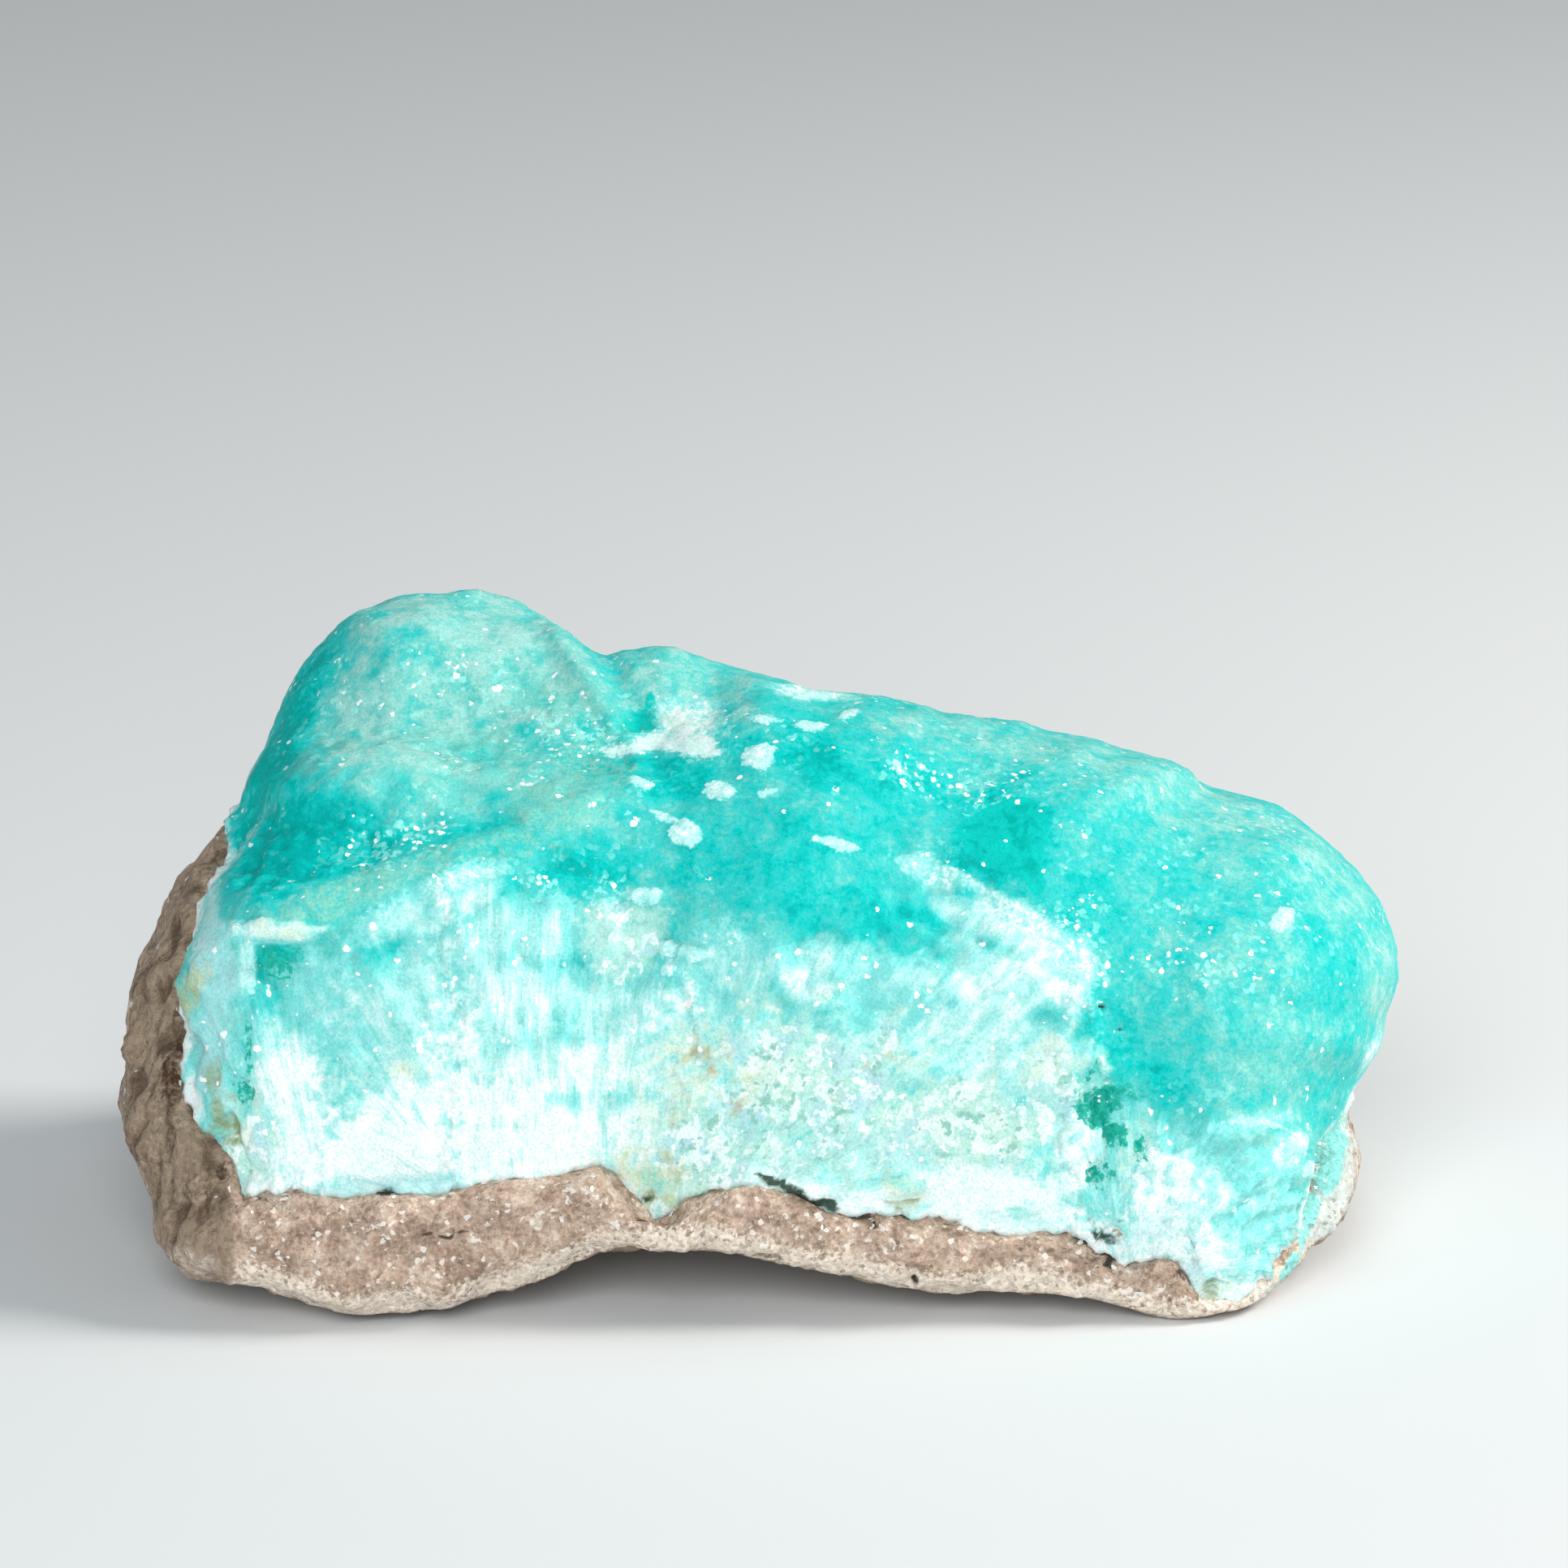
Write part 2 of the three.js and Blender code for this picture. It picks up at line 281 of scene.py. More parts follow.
def write_masks(mesh, masks):
    """Keeps each mask on the mesh's points, under the name by which the material reads it."""
    for name, values in masks.items():
        mesh.attributes.new(name, "FLOAT", "POINT").data.foreach_set("value", values.astype(np.float32))


def write_vectors(mesh, name, values):
    layer = mesh.attributes.new(name, "FLOAT_VECTOR", "POINT")
    layer.data.foreach_set("vector", values.astype(np.float32).ravel())


def fine_copy(node, name, grid):
    """A new piece with a node's shape, on an even grid of small faces."""
    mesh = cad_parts[node].data.copy()
    mesh.materials.clear()
    piece = bpy.data.objects.new(name, mesh)
    bpy.context.collection.objects.link(piece)
    weld = piece.modifiers.new("weld", "WELD")
    weld.merge_threshold = WELD
    remesh = piece.modifiers.new("grid", "REMESH")
    remesh.mode = "VOXEL"
    remesh.voxel_size = grid * MM
    remesh.use_smooth_shade = True
    shape = bpy.data.meshes.new_from_object(piece.evaluated_get(bpy.context.evaluated_depsgraph_get()))
    piece.modifiers.clear()
    piece.data = shape
    shape.name = name
    return piece


def distance_to(node, points, most):
    """The distance from each point to a node's surface, up to a most."""
    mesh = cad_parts[node].data
    tree = BVHTree.FromPolygons([v.co for v in mesh.vertices], [p.vertices for p in mesh.polygons])
    found = np.full(len(points), most)
    for i, point in enumerate(points):
        hit = tree.find_nearest(Vector(point * MM), most * MM)
        if hit[3] is not None:
            found[i] = hit[3] / MM
    return found


def even_out(points, edges, rounds, held):
    """Draws each point half way to the middle of its neighbours, and less far where it is held."""
    moving = held < 1
    edges = edges[moving[edges].any(axis=1)]
    used, slim = np.unique(edges, return_inverse=True)
    first, second = slim.reshape(-1, 2).T
    size = len(used)
    count = np.bincount(first, minlength=size) + np.bincount(second, minlength=size)
    pull = 0.5 * (1 - held[used])
    for _ in range(rounds):
        for axis in range(3):
            line = points[used, axis]
            total = np.bincount(first, line[second], size) + np.bincount(second, line[first], size)
            points[used, axis] = line + (total / count - line) * pull
    return points


# ---------------------------------------------------------------- fitting both pieces to the outline

BEARINGS = 360
STEPS_TO_CORNER = 20
OUTLINE_ROUNDS = 5
SMOOTHING_ROUNDS = 8
# The farthest that a round moves a point, in pixels.
MOST_SHIFT = 18.0
# The shares of the way out to the edge between which points begin to move.
MOVING_FROM = (0.45, 1.0)
# Points this low stay on the floor, apart from the front edge, which starts this far forward.
FOOT = (0.0, 1.5)
FRONT_EDGE = (-14.0, -17.0)


def bearing_and_reach(pixels):
    offset = pixels - OUTLINE_CENTRE
    return np.arctan2(offset[:, 1], offset[:, 0]), np.hypot(offset[:, 0], offset[:, 1])


def outline_reach(bearings):
    """How far the outline lies from its centre on each bearing."""
    line = np.array(OUTLINE + OUTLINE[:1], float)
    steps = np.linspace(0, 1, STEPS_TO_CORNER, endpoint=False)[:, None]
    dense = np.concatenate([a + (b - a) * steps for a, b in zip(line[:-1], line[1:])])
    angle, reach = bearing_and_reach(dense)
    order = np.argsort(angle)
    return np.interp(bearings, angle[order], reach[order], period=2 * math.pi)


def model_reach(pixels):
    """The farthest reach of the model on each of an even set of bearings."""
    angle, reach = bearing_and_reach(pixels)
    slot = ((angle + math.pi) / (2 * math.pi) * BEARINGS).astype(int) % BEARINGS
    farthest = np.zeros(BEARINGS)
    np.maximum.at(farthest, slot, reach)
    centres = (np.arange(BEARINGS) + 0.5) / BEARINGS * 2 * math.pi - math.pi
    return centres, farthest


def fit_outline(shapes):
    """Moves points across the line of sight so that the model's edge meets the outline."""
    for _ in range(OUTLINE_ROUNDS):
        centres, farthest = model_reach(np.concatenate([pixels_of(p)[0] for p in shapes]))
        change = np.clip(outline_reach(centres) - farthest, -MOST_SHIFT, MOST_SHIFT)
        for _ in range(SMOOTHING_ROUNDS):
            change = (np.roll(change, 1) + 2 * change + np.roll(change, -1)) / 4
        for points in shapes:
            pixels, pixel_size = pixels_of(points)
            angle, reach = bearing_and_reach(pixels)
            shift = np.interp(angle, centres, change, period=2 * math.pi)
            edge = np.interp(angle, centres, farthest, period=2 * math.pi)
            shift *= ease(*MOVING_FROM, reach / edge) * pixel_size
            off_floor = np.maximum(ease(*FOOT, points[:, 2]), ease(*FRONT_EDGE, points[:, 1]))
            points += np.outer(shift * np.cos(angle), RIGHT)
            points -= np.outer(shift * np.sin(angle) * off_floor, UP)
            points[:, 2] = np.maximum(points[:, 2], 0)


CONTACT_SLOTS = 90
CONTACT_ROUNDS = 2
# How far from the contact the crust and the rock still move, and how near they move fully, in pixels.
CRUST_FADE = (130, 6)
ROCK_FADE = (62, 6)
# The heights over the floor between which points begin to move.
CONTACT_FOOT = (0.5, 3.0)


def fit_contact(crust_shape, rock_shape):
    """Moves points up or down so that the crust's lower edge meets the contact line."""
    left, right = CONTACT[0][0], CONTACT[-1][0]
    for _ in range(CONTACT_ROUNDS):
        pixels, _ = pixels_of(crust_shape)
        slot = ((pixels[:, 0] - left) / (right - left) * CONTACT_SLOTS).astype(int)
        inside = (slot >= 0) & (slot < CONTACT_SLOTS)
        lowest = np.zeros(CONTACT_SLOTS)
        np.maximum.at(lowest, slot[inside], pixels[inside, 1])
        across = left + (np.arange(CONTACT_SLOTS) + 0.5) * (right - left) / CONTACT_SLOTS
        change = height_on(CONTACT, across) - lowest
        change[0] = change[-1] = 0
        for points, fade in ((crust_shape, CRUST_FADE), (rock_shape, ROCK_FADE)):
            pixels, pixel_size = pixels_of(points)
            shift = np.interp(pixels[:, 0], across, change, left=0, right=0)
            edge = np.interp(pixels[:, 0], across, lowest)
            shift *= ease(*fade, np.abs(pixels[:, 1] - edge)) * pixel_size
            points -= np.outer(shift * ease(*CONTACT_FOOT, points[:, 2]), UP)


# ---------------------------------------------------------------- the fibres of the broken face

# Fans of fibres from the left to the right: the pixel each spreads from, and how far across it goes.
FANS = [
    ((430, 1720), 405), ((600, 1500), 560), ((640, 3600), 835), ((880, 1500), 1315), ((1395, 1575), 2000),
]
# Fibres have their true width this far down, unless they start nearer to it than the second number.
TRUE_WIDTH_AT = 1330.0
LEAST_SPREAD = 170.0
# What keeps the noise of one fan from running on into the next, and the number for the unseen rear.
FAN_NUMBER_STEP = 10.0
REAR_FAN = 90.0
# The soft seam where two fans meet: it is full at the second distance, in pixels.
SEAM = (46, 8)


def fibre_runs(pixels, wander):
    """For each point, millimetres across its fibres, millimetres along them and the number of its fan."""
    across = pixels[:, 0] + wander
    run = np.zeros((len(pixels), 3))
    start = -np.inf
    for number, (source, until) in enumerate(FANS):
        mine = (across >= start) & (across < until)
        start = until
        offset = pixels[mine] - source
        spread = max(LEAST_SPREAD, source[1] - TRUE_WIDTH_AT)
        run[mine, 0] = np.arctan2(offset[:, 0], -offset[:, 1]) * spread / PIXELS_PER_MM
        run[mine, 1] = np.hypot(offset[:, 0], offset[:, 1]) / PIXELS_PER_MM
        run[mine, 2] = FAN_NUMBER_STEP * number
    return run


def fan_seam(pixels, wander):
    """1 where two fans of fibres meet, and 0 away from there."""
    return ease(*SEAM, np.min([np.abs(pixels[:, 0] + wander - until) for _, until in FANS], axis=0))


# ---------------------------------------------------------------- places on the crust, in pixels

# Each place: pixel across and down, half length, half width, turn in degrees clockwise, strength.
# Deeper turquoise: partly the crystal's own deeper colour, partly painted shade on the tall knob's left rim
# and in the notch beside the small bump.
DEEP_TEAL_AND_SHADE = [
    (690, 1000, 70, 34, -30, 0.30), (1450, 1285, 90, 60, 0, 0.14), (340, 1182, 30, 20, 0, 0.4),
    (375, 1035, 115, 62, -18, 1.0), (348, 912, 130, 24, -64, 1.0), (600, 1035, 110, 30, -10, 0.5),
    (490, 970, 16, 14, 0, 0.9), (478, 806, 7, 5, 0, 0.4), (436, 905, 8, 6, 0, 0.7),
    (545, 1020, 60, 16, 0, 0.5), (672, 866, 14, 7, 0, 0.8), (718, 892, 10, 12, 30, 0.9),
    (830, 848, 5, 12, 0, 0.7), (702, 858, 9, 9, 0, 0.7), (640, 900, 12, 7, 0, 0.6),
    (610, 985, 14, 8, 0, 0.7), (590, 930, 40, 9, 12, 0.6), (960, 1050, 140, 50, 0, 0.35),
    (1050, 950, 150, 40, 12, 0.5), (408, 805, 60, 9, -60, 0.5), (1245, 1035, 52, 56, 0, 0.92),
    (1090, 1130, 56, 30, 0, 0.66), (790, 890, 26, 15, -10, 0.95), (335, 1186, 30, 20, 0, 0.9),
    (800, 958, 110, 26, 10, 0.75), (720, 1060, 60, 40, 20, 0.7), (480, 1180, 46, 26, -30, 0.5),
    (1360, 1290, 60, 50, 0, 0.5), (780, 1215, 10, 30, 4, 0.4), (1330, 1100, 70, 40, 30, 0.45),
    (1430, 1330, 60, 26, 30, 0.4), (980, 930, 90, 22, 8, 0.5), (400, 1270, 70, 30, 40, 0.25),
    (1020, 1110, 80, 40, 0, 0.35), (1130, 980, 90, 22, 12, 0.45), (1640, 1180, 40, 60, 0, 0.4),
    (400, 1120, 60, 14, -20, 0.5),
]
PALE_MINT = [
    (575, 775, 130, 58, 8, 1.0), (485, 945, 95, 44, -8, 0.95), (825, 838, 62, 42, 0, 0.9),
    (560, 860, 150, 60, 0, 0.9), (455, 885, 80, 60, -60, 1.0), (560, 745, 150, 50, 0, 0.5),
    (670, 830, 80, 60, 40, 0.85), (620, 965, 110, 34, 12, 0.65), (520, 985, 100, 36, 0, 0.6),
    (1500, 1200, 120, 60, 0, 0.25), (1480, 985, 150, 34, 20, 0.6), (1640, 1090, 80, 36, 55, 0.7),
    (1300, 925, 170, 26, 10, 0.6), (1700, 1200, 20, 70, 0, 0.8), (720, 1010, 60, 34, 30, 0.5),
    (1180, 905, 110, 20, 10, 0.5), (1560, 1320, 80, 90, 10, 0.5), (1560, 1430, 70, 70, 20, 0.8),
    (265, 1235, 30, 120, 0, 0.8), (880, 845, 50, 26, 20, 0.6), (1600, 1200, 70, 60, 0, 0.35),
    (1550, 1060, 90, 50, 20, 0.3),
]
# Where pale and clear crystal lie side by side in small spots.
PATCHY = [
    (660, 880, 130, 70, 20, 0.7), (490, 980, 130, 50, -10, 0.5), (1130, 950, 120, 50, 14, 0.8),
    (1500, 1200, 180, 120, 20, 0.5), (620, 1090, 150, 30, -20, 0.8), (860, 870, 80, 50, 0, 0.8),
    (1260, 960, 80, 50, 20, 0.7), (480, 1200, 160, 60, -10, 0.7), (800, 1180, 110, 60, 0, 0.8),
]
SAGE = [
    (430, 1105, 130, 24, -20, 0.75), (560, 1062, 120, 26, -16, 0.6), (690, 1000, 80, 44, -30, 0.75),
    (720, 945, 70, 44, 10, 0.6), (700, 865, 90, 40, 20, 0.5), (450, 1140, 36, 20, -20, 0.7),
    (620, 925, 120, 30, 10, 0.5), (400, 1165, 34, 16, -10, 0.6), (560, 960, 90, 40, 0, 0.4),
]
WHITE_PATCHES = [
    (500, 1420, 230, 52, 0, 1.0), (700, 1400, 110, 60, 0, 0.95), (360, 1345, 56, 90, -20, 0.9),
    (300, 1440, 44, 34, 0, 1.0), (842, 890, 34, 26, 20, 0.8), (868, 885, 22, 26, 0, 0.6),
    (1270, 1150, 60, 30, 34, 0.5), (1290, 1195, 50, 30, 0, 0.6), (1335, 1190, 14, 34, 0, 0.85),
    (1200, 1090, 80, 6, 27, 0.6), (1255, 1118, 60, 5, 26, 0.8), (1245, 1140, 60, 28, 32, 0.7),
    (1285, 1165, 50, 34, 34, 0.72), (1190, 1125, 40, 18, 32, 0.55), (1155, 1082, 30, 12, 30, 0.6),
    (1225, 1190, 60, 14, 38, 0.6), (1300, 1215, 50, 20, 34, 0.8), (1225, 1215, 90, 50, 10, 0.7),
    (1210, 1290, 110, 70, 0, 0.72), (1330, 1420, 34, 60, 0, 0.85), (1110, 1400, 60, 50, 0, 0.85),
    (790, 1400, 60, 60, 0, 0.95), (565, 1290, 90, 40, 0, 0.75), (560, 1092, 60, 18, -20, 0.6),
    (1010, 1190, 110, 34, 0, 0.5), (1210, 1465, 120, 44, 8, 1.0), (1290, 1310, 52, 42, 0, 0.85),
    (1440, 1480, 70, 80, 20, 0.9), (1480, 1540, 70, 40, 30, 0.95), (980, 1210, 22, 34, -30, 0.9),
    (1010, 1222, 22, 14, 0, 0.8), (750, 1160, 36, 54, 0, 0.7), (560, 1120, 60, 24, -26, 0.7),
    (640, 1150, 110, 46, 0, 0.62), (600, 1240, 170, 70, 0, 0.66), (800, 1260, 120, 70, 0, 0.7),
    (690, 1320, 200, 46, 0, 0.82), (490, 1130, 70, 22, -24, 0.55), (890, 1190, 70, 50, 0, 0.5),
    (560, 1180, 60, 40, 0, 0.6), (250, 1130, 20, 90, 0, 0.75), (330, 1150, 60, 11, 4, 0.8),
    (301, 1190, 10, 50, 0, 0.6), (1590, 1420, 22, 26, 20, 0.7), (1540, 1385, 60, 10, -10, 0.5),
    (1120, 1215, 130, 34, -10, 0.45), (930, 1290, 100, 60, 0, 0.62), (1060, 1300, 120, 60, -10, 0.62),
    (1190, 1390, 140, 60, 0, 0.8), (1000, 1425, 130, 44, 6, 0.72), (860, 1420, 80, 50, 0, 0.8),
    (1130, 1060, 22, 12, 0, 0.6), (1620, 1560, 20, 60, 40, 0.8), (1650, 1450, 14, 50, 14, 0.7),
    (380, 1425, 120, 46, 0, 1.0), (440, 1260, 110, 70, 30, 0.5), (560, 1360, 160, 50, 0, 0.9),
    (1000, 1330, 140, 60, 0, 0.75), (850, 1330, 90, 70, 0, 0.72), (1220, 1330, 100, 70, 0, 0.75),
    (590, 1330, 150, 40, 0, 0.7), (1000, 852, 50, 9, 6, 0.8), (1690, 1300, 10, 30, 20, 0.9),
    (240, 1362, 17, 44, -8, 1.0), (236, 1120, 16, 80, 0, 0.8), (272, 1255, 16, 90, 0, 0.45),
]
# Clean white fibre at the foot of the crumbly part.
CLEAN_WHITE = [(1215, 1472, 100, 32, 8, 1.0), (1330, 1430, 20, 40, 0, 0.8)]
CREAM = [
    (345, 1146, 50, 11, 4, 0.9), (755, 1160, 34, 46, 0, 0.35), (600, 1320, 140, 26, 0, 0.45),
    (830, 1330, 90, 60, 0, 0.7), (950, 1330, 70, 44, 0, 0.6), (1290, 1305, 44, 34, 0, 0.8),
    (1180, 1400, 130, 44, 0, 0.5), (930, 1240, 60, 50, 0, 0.4), (840, 885, 34, 26, 0, 0.6),
    (1400, 1430, 40, 60, 0, 0.5), (1530, 1590, 60, 10, -4, 0.7), (1640, 1480, 12, 90, 25, 0.7),
]
# Where the broken face is crumbly, and its fibres are short or lost.
CRUMBLY = [
    (1000, 1350, 170, 110, 0, 1.0), (1190, 1390, 150, 80, 0, 1.0), (860, 1420, 70, 90, 0, 1.0),
    (300, 1420, 50, 60, 0, 1.0), (760, 1160, 60, 60, 0, 0.8), (1290, 1330, 60, 60, 0, 1.0),
]
# Where fibres are felted together and look cloudy.
CLOUDY = [(1450, 1470, 80, 110, 0, 0.65), (1560, 1480, 70, 90, 20, 0.5)]
# Where the skin is clear and glassy, with few flecks and few painted glints.
GLASSY = [
    (1000, 1060, 180, 110, 10, 1.0), (1130, 1150, 120, 70, 20, 0.9), (1490, 1300, 140, 70, 20, 0.9),
    (1240, 1050, 60, 70, 0, 0.7), (900, 1010, 70, 60, 0, 0.7), (1440, 1140, 130, 40, 10, 0.4),
    (870, 1080, 60, 60, 0, 0.7), (1600, 1240, 60, 60, 0, 0.5), (1540, 1440, 80, 60, 30, 0.8),
]
STRAW = [
    (800, 1450, 60, 44, 20, 0.75), (1110, 1464, 50, 26, 6, 0.7), (225, 1222, 26, 38, 20, 1.0),
    (860, 1300, 80, 60, 30, 0.5), (290, 1390, 20, 60, 0, 0.5), (930, 1350, 60, 40, 20, 0.4),
    (500, 1330, 120, 18, -4, 0.35), (350, 1400, 40, 20, 0, 0.3),
]
# Dull olive druse beside the rock and at the foot of the face.
OLIVE = [
    (270, 1398, 15, 52, -8, 0.95), (262, 1325, 10, 34, 0, 0.7), (226, 1226, 14, 20, 20, 0.8),
    (803, 1472, 14, 12, 0, 0.9), (1108, 1482, 30, 8, 6, 0.9), (1490, 1592, 18, 11, 0, 0.9),
    (282, 1350, 14, 18, 0, 0.6), (706, 965, 12, 8, -30, 0.5),
]
RUST = [
    (878, 1318, 14, 42, -40, 1.0), (913, 1370, 34, 13, 30, 0.9), (1030, 1350, 18, 12, 0, 0.8),
    (1095, 1305, 30, 9, -20, 0.8), (1165, 1300, 34, 9, -20, 0.7), (828, 1362, 12, 36, 0, 0.7),
    (852, 1275, 18, 14, 0, 0.7), (868, 1245, 8, 22, 20, 0.6),
]
# Pale bluish white: partly the white crystal's own tint, partly painted shade at the foot of the white base
# and beside the rock's edge.
PALE_BLUE_AND_SHADE = [
    (500, 1462, 190, 18, 0, 0.8), (1050, 1420, 130, 40, 6, 0.5), (1270, 1352, 50, 26, 0, 0.6),
    (1270, 1505, 70, 14, 4, 0.6), (940, 1400, 60, 40, 0, 0.5), (250, 1100, 22, 80, 0, 0.75),
    (262, 1235, 27, 120, 0, 1.0), (1470, 1575, 40, 24, 30, 0.6), (1430, 1520, 40, 30, 0, 0.5),
    (640, 1180, 150, 50, 0, 0.45), (420, 1260, 110, 40, 20, 0.4),
]
EMERALD = [
    (342, 1184, 30, 20, -10, 0.55), (360, 1170, 16, 8, 0, 0.5), (1360, 1365, 26, 26, 0, 0.95),
    (1378, 1396, 16, 16, 0, 0.9), (1406, 1415, 10, 16, 0, 0.7), (1358, 1450, 22, 24, 0, 0.6),
    (1338, 1330, 28, 10, -50, 0.5), (292, 1345, 16, 24, 0, 0.7), (303, 1300, 6, 40, 0, 0.6),
    (1390, 1340, 40, 20, 0, 0.4), (792, 895, 16, 10, -30, 0.5),
]
# Painted shade in hollows and pits of the crust and in the gaps under its edge: a darker colour where shade
# falls.
HOLLOW_SHADE = [
    (798, 1477, 5, 5, 0, 1.0), (1358, 1240, 5, 4, 0, 0.9), (1380, 1267, 4, 3, 0, 0.9),
    (965, 1459, 40, 5, 20, 1.0), (1010, 1479, 30, 5, 24, 0.9), (1355, 1523, 28, 7, 35, 0.9),
    (1345, 1508, 24, 12, 30, 0.45), (474, 1466, 18, 4, 0, 0.7), (1470, 1582, 12, 8, 40, 0.5),
    (490, 972, 8, 7, 0, 0.5), (283, 1385, 6, 40, -6, 0.5),
]
# Thin scales of clear white crystal that lie on the skin, each by its corners.
FLAKES = [
    [(979, 893), (986, 887), (1003, 890), (1016, 890), (1020, 896), (1010, 903), (996, 901), (985, 898)],
    [(1031, 887), (1042, 875), (1053, 873), (1061, 879), (1049, 886), (1038, 889)],
    [(1000, 1035), (1003, 1027), (1022, 1032), (1031, 1030), (1045, 1036), (1059, 1044), (1050, 1049),
     (1031, 1047), (1024, 1041), (1007, 1038)],
    [(1097, 938), (1106, 936), (1115, 951), (1110, 955), (1102, 946)],
    [(866, 973), (875, 962), (885, 960), (904, 968), (906, 980), (893, 987), (872, 982)],
    [(913, 927), (925, 918), (944, 914), (956, 921), (951, 938), (941, 955), (929, 945), (914, 941)],
    [(798, 999), (815, 1002), (836, 1011), (827, 1017), (808, 1009)],
    [(824, 1026), (845, 1010), (863, 1020), (867, 1035), (851, 1044), (828, 1039)],
    [(772, 968), (786, 962), (806, 970), (800, 980), (780, 978)],
    [(932, 978), (945, 971), (960, 974), (950, 980), (938, 983)],
    [(915, 884), (940, 880), (968, 886), (940, 891)],
    [(975, 858), (1000, 851), (1024, 855), (1010, 861), (985, 863)],
    [(776, 1100), (786, 1093), (797, 1095), (800, 1110), (790, 1115), (778, 1110)],
    [(799, 1097), (810, 1094), (819, 1101), (813, 1115), (803, 1117), (800, 1108)],
    [(811, 1162), (822, 1157), (833, 1166), (829, 1178), (815, 1179)],
    [(637, 1172), (645, 1169), (649, 1192), (645, 1214), (638, 1210)],
    [(562, 1134), (569, 1131), (571, 1150), (564, 1155)],
    [(573, 1158), (580, 1157), (581, 1176), (575, 1179)],
    [(546, 1205), (556, 1208), (553, 1220), (545, 1217)],
    [(562, 1217), (571, 1222), (567, 1236), (560, 1230)],
    [(1318, 1168), (1330, 1172), (1333, 1184), (1322, 1183)],
    [(1336, 1186), (1346, 1190), (1349, 1203), (1338, 1202)],
    [(1326, 1196), (1334, 1199), (1341, 1213), (1331, 1215)],
    [(1290, 1128), (1306, 1134), (1318, 1145), (1301, 1140)],
    [(814, 1186), (826, 1182), (835, 1192), (828, 1203), (815, 1200)],
    [(838, 1168), (850, 1165), (862, 1170), (880, 1163), (881, 1176), (866, 1183), (846, 1182)],
    [(1585, 1402), (1597, 1394), (1611, 1402), (1608, 1418), (1595, 1427), (1586, 1416)],
    [(1563, 1138), (1578, 1118), (1596, 1122), (1592, 1142), (1574, 1151)],
    [(1605, 1436), (1622, 1429), (1634, 1441), (1622, 1452), (1608, 1449)],
    [(299, 1180), (309, 1160), (314, 1200), (309, 1232), (300, 1215)],
    [(1500, 1384), (1530, 1376), (1560, 1378), (1590, 1392), (1560, 1388), (1528, 1386)],
]
# A chip where the skin has split off to its white inside, with a straight lower edge.
CHIP = [
    (736, 926), (760, 917), (776, 921), (788, 911), (800, 905), (815, 903), (822, 911), (840, 913),
    (862, 907), (880, 909), (887, 929), (870, 933), (850, 932), (835, 928), (815, 926), (776, 928),
    (755, 931),
]
# Deep clear turquoise that ends at a sharp edge, where one crystal group stops.
CLEAR_DEEP = [
    [(1175, 1020), (1200, 1003), (1235, 985), (1270, 983), (1287, 1000), (1296, 1015), (1288, 1035),
     (1284, 1060), (1290, 1090), (1280, 1112), (1255, 1080), (1215, 1070), (1190, 1050)],
    [(318, 1172), (340, 1166), (362, 1176), (372, 1190), (352, 1204), (328, 1206), (314, 1192)],
    [(760, 893), (775, 886), (788, 882), (797, 872), (795, 855), (803, 851), (808, 862), (812, 884),
     (811, 904), (796, 901), (780, 899)],
    [(746, 1208), (762, 1206), (770, 1192), (788, 1200), (786, 1232), (776, 1240), (772, 1216),
     (750, 1232)],
]
# Groups of bright facets, where crystals stand closer or larger: more pale flecks there, and more faces
# painted white as glints.
GLINTS = [
    (640, 1195, 14, 60, 0, 1.0), (660, 1096, 34, 20, 0, 1.5), (572, 1160, 20, 44, 0, 1.4),
    (1330, 1195, 30, 48, 10, 1.8), (557, 1215, 22, 22, 0, 1.3), (480, 1040, 90, 40, 0, 1.0),
    (750, 1095, 20, 20, 0, 1.0), (1300, 1140, 20, 10, 30, 1.3), (1215, 975, 40, 14, 10, 1.2),
    (1120, 950, 50, 30, 20, 0.8), (1320, 1125, 50, 40, 0, 0.6), (1440, 1120, 30, 16, 0, 0.8),
    (1500, 1200, 120, 60, 0, 0.6), (700, 905, 80, 44, 0, 1.0), (600, 850, 120, 50, 20, 0.6),
    (1480, 1350, 100, 50, 0, 0.5), (1225, 985, 60, 26, 0, 0.7), (720, 1120, 60, 20, 0, 0.8),
    (860, 880, 40, 40, 0, 0.8),
]
# The rounded ridge that the skin turns over before it ends in the broken face.
RIDGE = [(760, 975), (700, 1012), (640, 1046), (560, 1068), (470, 1096), (400, 1118), (335, 1142)]
# Pits and hollows in the crust: a place, and its depth in millimetres in the place of its strength.
PITS = [
    (395, 1035, 110, 42, -18, 0.8), (1130, 1090, 120, 40, 30, 0.4), (880, 1240, 26, 60, 6, 0.5),
    (335, 1186, 30, 22, 0, 1.2), (787, 892, 28, 10, -10, 0.45), (798, 1477, 7, 7, 0, 0.8),
    (1000, 1482, 62, 9, 17, 1.0), (1360, 1526, 30, 14, 35, 0.7), (1358, 1240, 6, 5, 0, 0.5),
    (1380, 1267, 5, 4, 0, 0.4), (1360, 1365, 20, 22, 0, 0.7), (1377, 1397, 12, 14, 0, 0.5),
    (1358, 1450, 20, 22, 0, 0.6), (290, 1352, 18, 24, 0, 0.9), (275, 1405, 12, 34, 0, 0.8),
    (780, 1215, 12, 50, 4, 0.5), (1010, 1215, 16, 12, 0, 0.5), (306, 1290, 5, 54, 0, 0.7),
    (1490, 1590, 16, 10, 0, 0.6), (480, 1180, 40, 20, -30, 0.5), (640, 1060, 60, 20, -10, 0.4),
]
